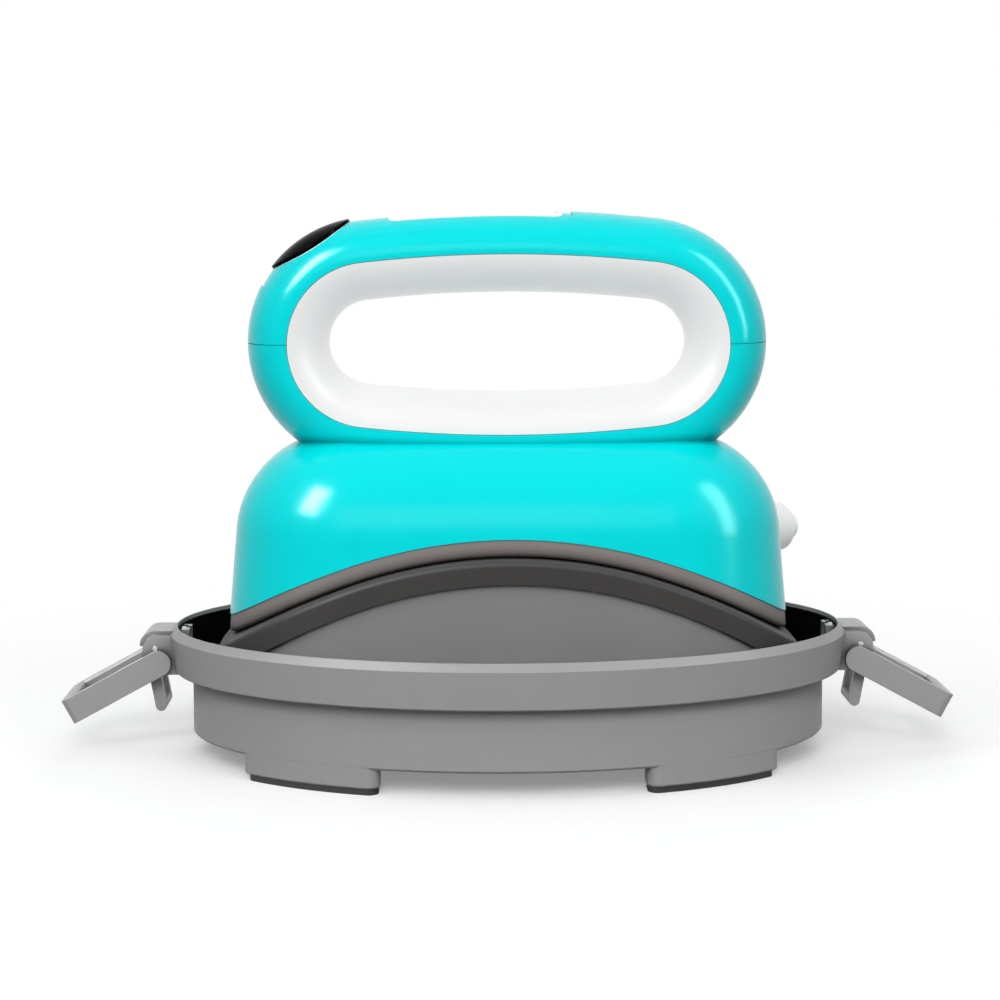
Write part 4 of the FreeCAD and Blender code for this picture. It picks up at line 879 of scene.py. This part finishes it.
board_green = make_board_green()
case_black = make_case_plastic("case_black", (0.02, 0.02, 0.022), roughness=0.45)
winding_amber = make_case_plastic("winding_amber", (0.45, 0.22, 0.03), roughness=0.35)
terminal_green = make_case_plastic("terminal_green", (0.03, 0.28, 0.12), roughness=0.4)
cover(board_green, "power_board", "key_board", "display_board")
cover(case_black, "power_relay", "key_switches", "buzzer")
cover(winding_amber, "transformer")
cover(terminal_green, "terminal_block")
screw_set("board_screws", "press")

# Handle shells
# The loop handle is two teal mouldings that meet at mid height.
# Screws in its neck hold it to the dome.
cover(gloss_teal, "handle_lower_shell", "handle_upper_shell")
screw_set("handle_screws", "press")

# Grip liners
# Two soft white mouldings line the opening, front and rear.
# A fine groove runs where they meet the teal, drawn as a thin bead in painted shade.
handle_low, handle_high = (np.array(corner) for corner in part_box("handle_lower_shell"))
handle_centre = handle_high[2]
section_height = 25.8 * MM
section_depth = (handle_high[1] - handle_low[1]) / 2
end_radius = 39.2 * MM
end_x = (handle_high[0] - handle_low[0]) / 2 - end_radius
half_height = 41.6 * MM
crown_rise = half_height - end_radius
crown_radius = (end_x**2 + half_height**2 - end_radius**2) / (2 * crown_rise)
grip_offset = 0.6 * MM
groove_width = 0.11 * MM
groove_height = 0.6 * groove_width
ARC_STEPS = 90
BEAD_STEPS = 8
END_TAPER = 6
THIN_END = 0.02


def handle_oval(inset, steps):
    """Points of the handle's oval in the XZ plane, a given way inside its outline, going round once.

    Two round ends about (end_x, centre) and two long arcs about points under and over the centre,
    which meet the ends in the direction whose tangent is the arc centre's depth over end_x.
    """
    depth = crown_radius - half_height
    meet = math.atan2(depth, end_x)
    crown = np.linspace(meet, math.pi - meet, steps)
    left = np.linspace(math.pi - meet, math.pi + meet, steps)[1:]
    base = np.linspace(math.pi + meet, 2 * math.pi - meet, steps)[1:]
    right = np.linspace(-meet, meet, steps)[1:-1]
    long_radius = crown_radius - inset
    round_radius = end_radius - inset
    arcs = [
        (0.0, -depth, long_radius, crown),
        (-end_x, 0.0, round_radius, left),
        (0.0, depth, long_radius, base),
        (end_x, 0.0, round_radius, right),
    ]
    return np.vstack([
        np.stack([x + radius * np.cos(angle), z + radius * np.sin(angle)], axis=-1)
        for x, z, radius, angle in arcs
    ])


def bead(path, up, half_width, half_height, closed):
    """Points and faces of a fine rounded bar along a path.

    Each ring is an ellipse in the plane of the surface's normal and the cross of that normal with
    the path's direction. An open bar's rings shrink to its ends as a root of the distance does,
    and poles close them.
    """
    if closed:
        ahead = np.roll(path, -1, axis=0) - np.roll(path, 1, axis=0)
    else:
        ahead = np.gradient(path, axis=0)
    ahead /= np.linalg.norm(ahead, axis=1, keepdims=True)
    side = np.cross(ahead, up)
    side /= np.linalg.norm(side, axis=1, keepdims=True)
    raised = np.cross(side, ahead)
    count = len(path)
    taper = np.ones(count)
    if not closed:
        share = np.linspace(0, 1, count)
        taper = np.sqrt(np.clip(np.minimum(share, 1 - share) * END_TAPER, THIN_END, 1))
    steps = BEAD_STEPS
    angle = np.linspace(0, 2 * np.pi, steps, endpoint=False)
    wide = half_width * taper[:, None] * np.cos(angle)
    high = half_height * taper[:, None] * np.sin(angle)
    rings = path[:, None] + wide[..., None] * side[:, None] + high[..., None] * raised[:, None]
    points = rings.reshape(-1, 3)
    faces = band_faces(count, steps)
    if closed:
        last = (count - 1) * steps
        step = np.arange(steps)
        after = (step + 1) % steps
        faces += np.stack([last + step, last + after, after, step], axis=-1).tolist()
        return points, faces
    points = np.vstack([points, path[:1], path[-1:]])
    faces += fan_faces(0, steps, count * steps, outward=False)
    faces += fan_faces((count - 1) * steps, steps, count * steps + 1, outward=True)
    return points, faces


def make_grip_white():
    """Soft-touch white plastic with a dense fine grain.

    Its colour is written darker than white, and an even glow lifts it back to white under these
    lamps. The glow is a fitted value, so the grip looks greyer in stronger light and glows in the dark.
    """
    material, tree, shader = bare_material("grip_white_soft", specular=0.2)
    shader.inputs["Emission Color"].default_value = (1.0, 1.0, 1.0, 1.0)
    shader.inputs["Emission Strength"].default_value = 0.36
    place_grain(
        tree, shader, (0.48, 0.48, 0.48),
        roughness=0.42, grains=2400.0, depth=0.08, clouds=0.02, edge=0.2 * MM,
    )
    return material


def make_groove_shade():
    """Painted shade for the dark bottom of a fine gap."""
    material, tree, shader = bare_material("groove_shade", specular=0.1)
    place_grain(
        tree, shader, (0.05, 0.16, 0.165),
        roughness=0.7, grains=2000.0, depth=0.1, clouds=0.2, edge=0.05 * MM,
    )
    return material


grip_white = make_grip_white()
groove_shade = make_groove_shade()
cover(grip_white, "grip_liner_front", "grip_liner_rear")
groove_oval = handle_oval(section_height / 2 + grip_offset, ARC_STEPS)
groove_depth = section_depth * math.sqrt(1 - (grip_offset / (section_height / 2)) ** 2)
for face_name, face_sign in (("front", -1), ("rear", 1)):
    route = np.stack(
        [
            groove_oval[:, 0],
            np.full(len(groove_oval), face_sign * groove_depth),
            handle_centre + groove_oval[:, 1],
        ],
        axis=-1,
    )
    outward = np.tile([0.0, float(face_sign), 0.0], (len(route), 1))
    points, faces = bead(route, outward, groove_width, groove_height, closed=True)
    groove_name = "grip_groove_" + face_name
    new_piece(groove_name, points, faces, groove_shade, "press")

# Display lens
# A black domed window at the handle's front shoulder is moulded in tinted plastic.
# It is pressed into its deck, with a thin pale bead round it as a painted highlight on its edge.
lens_angle = math.radians(31.5)
lens_radius = 14.45 * MM
deck_sink = 0.6 * MM
rim_width = 0.15 * MM
RIM_STEPS = 120


def make_lens_black():
    """Black gloss window, smooth, with a faint cloudy depth."""
    material, tree, shader = bare_material("lens_black_gloss", specular=0.008)
    place_grain(
        tree, shader, (0.002, 0.002, 0.002),
        roughness=0.12, grains=400.0, depth=0.01, clouds=0.3, edge=0.3 * MM,
    )
    return material


def make_lens_rim_highlight():
    """A thin bright bead of pale teal-white plastic, a painted highlight on the lens's edge."""
    material, tree, shader = bare_material("lens_rim_highlight", specular=0.4)
    place_grain(
        tree, shader, (0.55, 0.8, 0.82),
        roughness=0.3, grains=1500.0, depth=0.05, clouds=0.05, edge=0.05 * MM,
    )
    return material


lens_black = make_lens_black()
lens_rim_highlight = make_lens_rim_highlight()
cover(lens_black, "display_lens")


def lens_edge(radius, steps):
    """Points of the lens's edge on the handle's round end, with the surface's normal at each.

    At a given side and depth, the deck lies at the end radius less the section's loss there and
    the deck's sink, and the height over the end's centre is the root of that radius squared less
    the side squared.
    """
    turn = np.linspace(0, 2 * np.pi, steps, endpoint=False)
    side = radius * np.cos(turn)
    depth = radius * np.sin(turn)
    ring_radius = end_radius - section_height / 2
    reach = ring_radius + section_height / 2 * np.sqrt(1 - (depth / section_depth) ** 2)
    height = np.sqrt((reach - deck_sink) ** 2 - side**2)
    across = np.array([math.cos(lens_angle), 0.0, math.sin(lens_angle)])
    outward = np.array([-math.sin(lens_angle), 0.0, math.cos(lens_angle)])
    centre = np.array([-end_x, 0.0, handle_centre])
    rearward = np.array([0.0, 1.0, 0.0])
    flat = side[:, None] * across + depth[:, None] * rearward
    return centre + flat + height[:, None] * outward, np.tile(outward, (steps, 1))


# The pale bead is a painted highlight round the lens's edge.
points, outward = lens_edge(lens_radius, RIM_STEPS)
points, faces = bead(points, outward, rim_width, rim_width, closed=True)
new_piece("lens_rim", points, faces, lens_rim_highlight, "press")

# Control panel and keys
# A white panel lies in the crown's deck, and three white keys stand in it, each with a small grey mark.
# The marks are printed in raised ink: a bar, a cross and a ring.
key_names = ("key_1", "key_2", "key_3")
mark_reach = 1.7 * MM
mark_width = 0.3 * MM
mark_height = 0.07 * MM
mark_sink = 0.04 * MM
ring_share = 0.8
BAR_STEPS = 15
RING_STEPS = 40
panel_white = make_satin_white("panel_white", roughness=0.38, grains=2800.0, depth=0.08)
key_white = make_satin_white("key_white", roughness=0.34, grains=2200.0, depth=0.06)
mark_grey = make_case_plastic("mark_grey", (0.12, 0.12, 0.125), roughness=0.5)
cover(panel_white, "control_panel")
cover(key_white, *key_names)


def key_top(name, x, y):
    """A key's height at points: its highest point less the crown's sag and the section's drop."""
    low, high = (np.array(corner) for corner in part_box(name))
    middle = (low[0] + high[0]) / 2
    nearest = max(0.0, abs(middle) - (high[0] - low[0]) / 2)
    sag = np.sqrt(crown_radius**2 - nearest**2) - np.sqrt(crown_radius**2 - x**2)
    drop = section_height / 2 * (1 - np.sqrt(1 - (y / section_depth) ** 2))
    return high[2] - sag - drop


def mark_lines(name):
    """The flat lines of a key's mark about the key's middle, and whether each closes on itself."""
    share = np.linspace(-1, 1, BAR_STEPS)
    bar = np.stack([share * mark_reach, np.zeros(BAR_STEPS)], axis=-1)
    turn = np.linspace(0, 2 * np.pi, RING_STEPS, endpoint=False)
    ring = ring_share * mark_reach * np.stack([np.cos(turn), np.sin(turn)], axis=-1)
    return {
        "key_1": [(bar, False)],
        "key_2": [(bar, False), (bar[:, ::-1], False)],
        "key_3": [(ring, True)],
    }[name]


for name in key_names:
    low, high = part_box(name)
    middle = (low[0] + high[0]) / 2
    mark_points = []
    mark_faces = []
    for line, closed in mark_lines(name):
        x = middle + line[:, 0]
        y = line[:, 1]
        route = np.stack([x, y, key_top(name, x, y) - mark_sink], axis=-1)
        upward = np.tile([0.0, 0.0, 1.0], (len(route), 1))
        points, faces = bead(route, upward, mark_width, mark_height, closed)
        start = sum(len(done) for done in mark_points)
        mark_points.append(points)
        mark_faces += [[corner + start for corner in face] for face in faces]
    points = np.vstack(mark_points)
    new_piece(name + "_mark", points, mark_faces, mark_grey, name)

# Floor
# A plain pale sheet under the object keeps its soft shadow.
# It runs out to plain white away from the object.
FLOOR_REACH = 6.0
PAPER_SEEN = (0.83, 0.83, 0.83, 1.0)
PAPER_BOUNCE = (0.2, 0.2, 0.2, 1.0)
PAPER_LIFT = 0.25
WHITE_STARTS = 0.16
WHITE_FROM = 0.36
floor_mesh = bpy.data.meshes.new("floor")
corners = [(-FLOOR_REACH, -FLOOR_REACH, 0), (FLOOR_REACH, -FLOOR_REACH, 0)]
corners += [(FLOOR_REACH, FLOOR_REACH, 0), (-FLOOR_REACH, FLOOR_REACH, 0)]
floor_mesh.from_pydata(corners, [], [(0, 1, 2, 3)])
floor = bpy.data.objects.new("floor", floor_mesh)
bpy.context.scene.collection.objects.link(floor)


def seen_directly(tree):
    """1 for rays from the camera, a mirror or glass, and 0 for the rest."""
    path = lay(tree, "LightPath")
    bounced = reckon(tree, "MAXIMUM", path.outputs["Is Glossy Ray"], path.outputs["Is Transmission Ray"])
    return reckon(tree, "MAXIMUM", path.outputs["Is Camera Ray"], bounced)


def make_paper_white():
    """Matt white paper: lit paper near the object, lifted a little, and plain white further out."""
    material, tree, shader = bare_material("paper_white", specular=0.0)
    shader.inputs["Roughness"].default_value = 0.9
    shader.inputs["Emission Color"].default_value = (1.0, 1.0, 1.0, 1.0)
    seen = seen_directly(tree)
    color = blend_colors(tree, seen, PAPER_BOUNCE, PAPER_SEEN)
    tree.links.new(color, shader.inputs["Base Color"])
    lift = reckon(tree, "MULTIPLY", seen, PAPER_LIFT)
    tree.links.new(lift, shader.inputs["Emission Strength"])
    place = lay(tree, "TexCoord").outputs["Object"]
    away = lay(tree, "VectorMath", {0: place}, operation="LENGTH").outputs["Value"]
    far = lay(
        tree,
        "MapRange",
        {"Value": away, "From Min": WHITE_STARTS, "From Max": WHITE_FROM},
        interpolation_type="SMOOTHSTEP",
    )
    white = lay(tree, "Emission", {"Color": (1.0, 1.0, 1.0, 1.0), "Strength": 1.0})
    share = reckon(tree, "MULTIPLY", far.outputs[0], seen)
    mixed = lay(tree, "MixShader", {0: share, 1: shader.outputs[0], 2: white.outputs[0]})
    tree.links.new(mixed.outputs[0], tree.nodes["Material Output"].inputs["Surface"])
    return material


floor_mesh.materials.append(make_paper_white())

# Studio
# A white room that is brighter above and towards the front.
# Soft boxes on all four sides light the object, and two more only shine in its gloss.
BRIGHTEST_WAY = (-0.1, -0.3, 0.95)
ROOM_DIM = 0.03
ROOM_BRIGHT = 0.72
OBJECT_MIDDLE = Vector((0.0, 0.0, 0.09))
world = bpy.data.worlds.new("studio")
bpy.context.scene.world = world
world.use_nodes = True
room = world.node_tree
looking = lay(room, "TexCoord").outputs["Generated"]
towards = lay(room, "VectorMath", {0: looking, 1: BRIGHTEST_WAY}, operation="DOT_PRODUCT")
glow = lay(
    room,
    "MapRange",
    {
        "Value": towards.outputs["Value"],
        "From Min": 0.0,
        "From Max": 1.0,
        "To Min": ROOM_DIM,
        "To Max": ROOM_BRIGHT,
    },
)
strength = lay(room, "Mix", {0: seen_directly(room), 2: glow.outputs[0], 3: 1.0}, data_type="FLOAT")
room.links.new(strength.outputs[0], room.nodes["Background"].inputs["Strength"])
room.nodes["Background"].inputs["Color"].default_value = (1.0, 1.0, 1.0, 1.0)


def soft_box(name, place, width, height, power, lights=True, shines=True):
    """A lamp that faces the object's middle, and may be left out of its light or its gloss."""
    lamp = bpy.data.lights.new(name, "AREA")
    lamp.shape = "RECTANGLE"
    lamp.size = width
    lamp.size_y = height
    lamp.energy = power
    holder = bpy.data.objects.new(name, lamp)
    bpy.context.scene.collection.objects.link(holder)
    holder.location = place
    facing = OBJECT_MIDDLE - Vector(place)
    holder.rotation_euler = facing.to_track_quat("-Z", "Y").to_euler()
    holder.visible_diffuse = lights
    holder.visible_glossy = shines


soft_box("front_light", place=(-0.1, -1.3, 0.76), width=0.6, height=0.6, power=11.6, shines=False)
soft_box("right_light", place=(0.9, -1.0, 0.9), width=0.5, height=0.5, power=2.5, shines=False)
soft_box("left_light", place=(-0.95, -0.5, 0.9), width=0.4, height=0.4, power=2.0, shines=False)
soft_box("back_light", place=(0.2, 1.3, 0.9), width=0.6, height=0.6, power=4.5, shines=False)
soft_box("left_shine", place=(-0.75, -0.65, 0.95), width=0.4, height=0.65, power=82.0, lights=False)
soft_box("right_shine", place=(1.15, -0.55, 0.75), width=0.35, height=1.35, power=36.0, lights=False)

# Camera
# It stands a little over seven tenths of a metre in front, level with the crown.
# It looks slightly down at the object.
FRAME_PIXELS = 1000
FOCAL_PIXELS = 2307.5
camera_lens = bpy.data.cameras.new("camera")
camera_lens.sensor_width = 36.0
camera_lens.lens = FOCAL_PIXELS * camera_lens.sensor_width / FRAME_PIXELS
camera_lens.shift_y = -0.078
camera_lens.clip_start = 0.01
camera_lens.clip_end = 20.0
camera = bpy.data.objects.new("camera", camera_lens)
bpy.context.scene.collection.objects.link(camera)
camera.location = (-0.0189, -0.7333, 0.169)
camera.rotation_euler = tuple(math.radians(turn) for turn in (90 - 4.93, 0.156, -1.3))
bpy.context.scene.camera = camera
bpy.context.scene.view_settings.view_transform = "Standard"
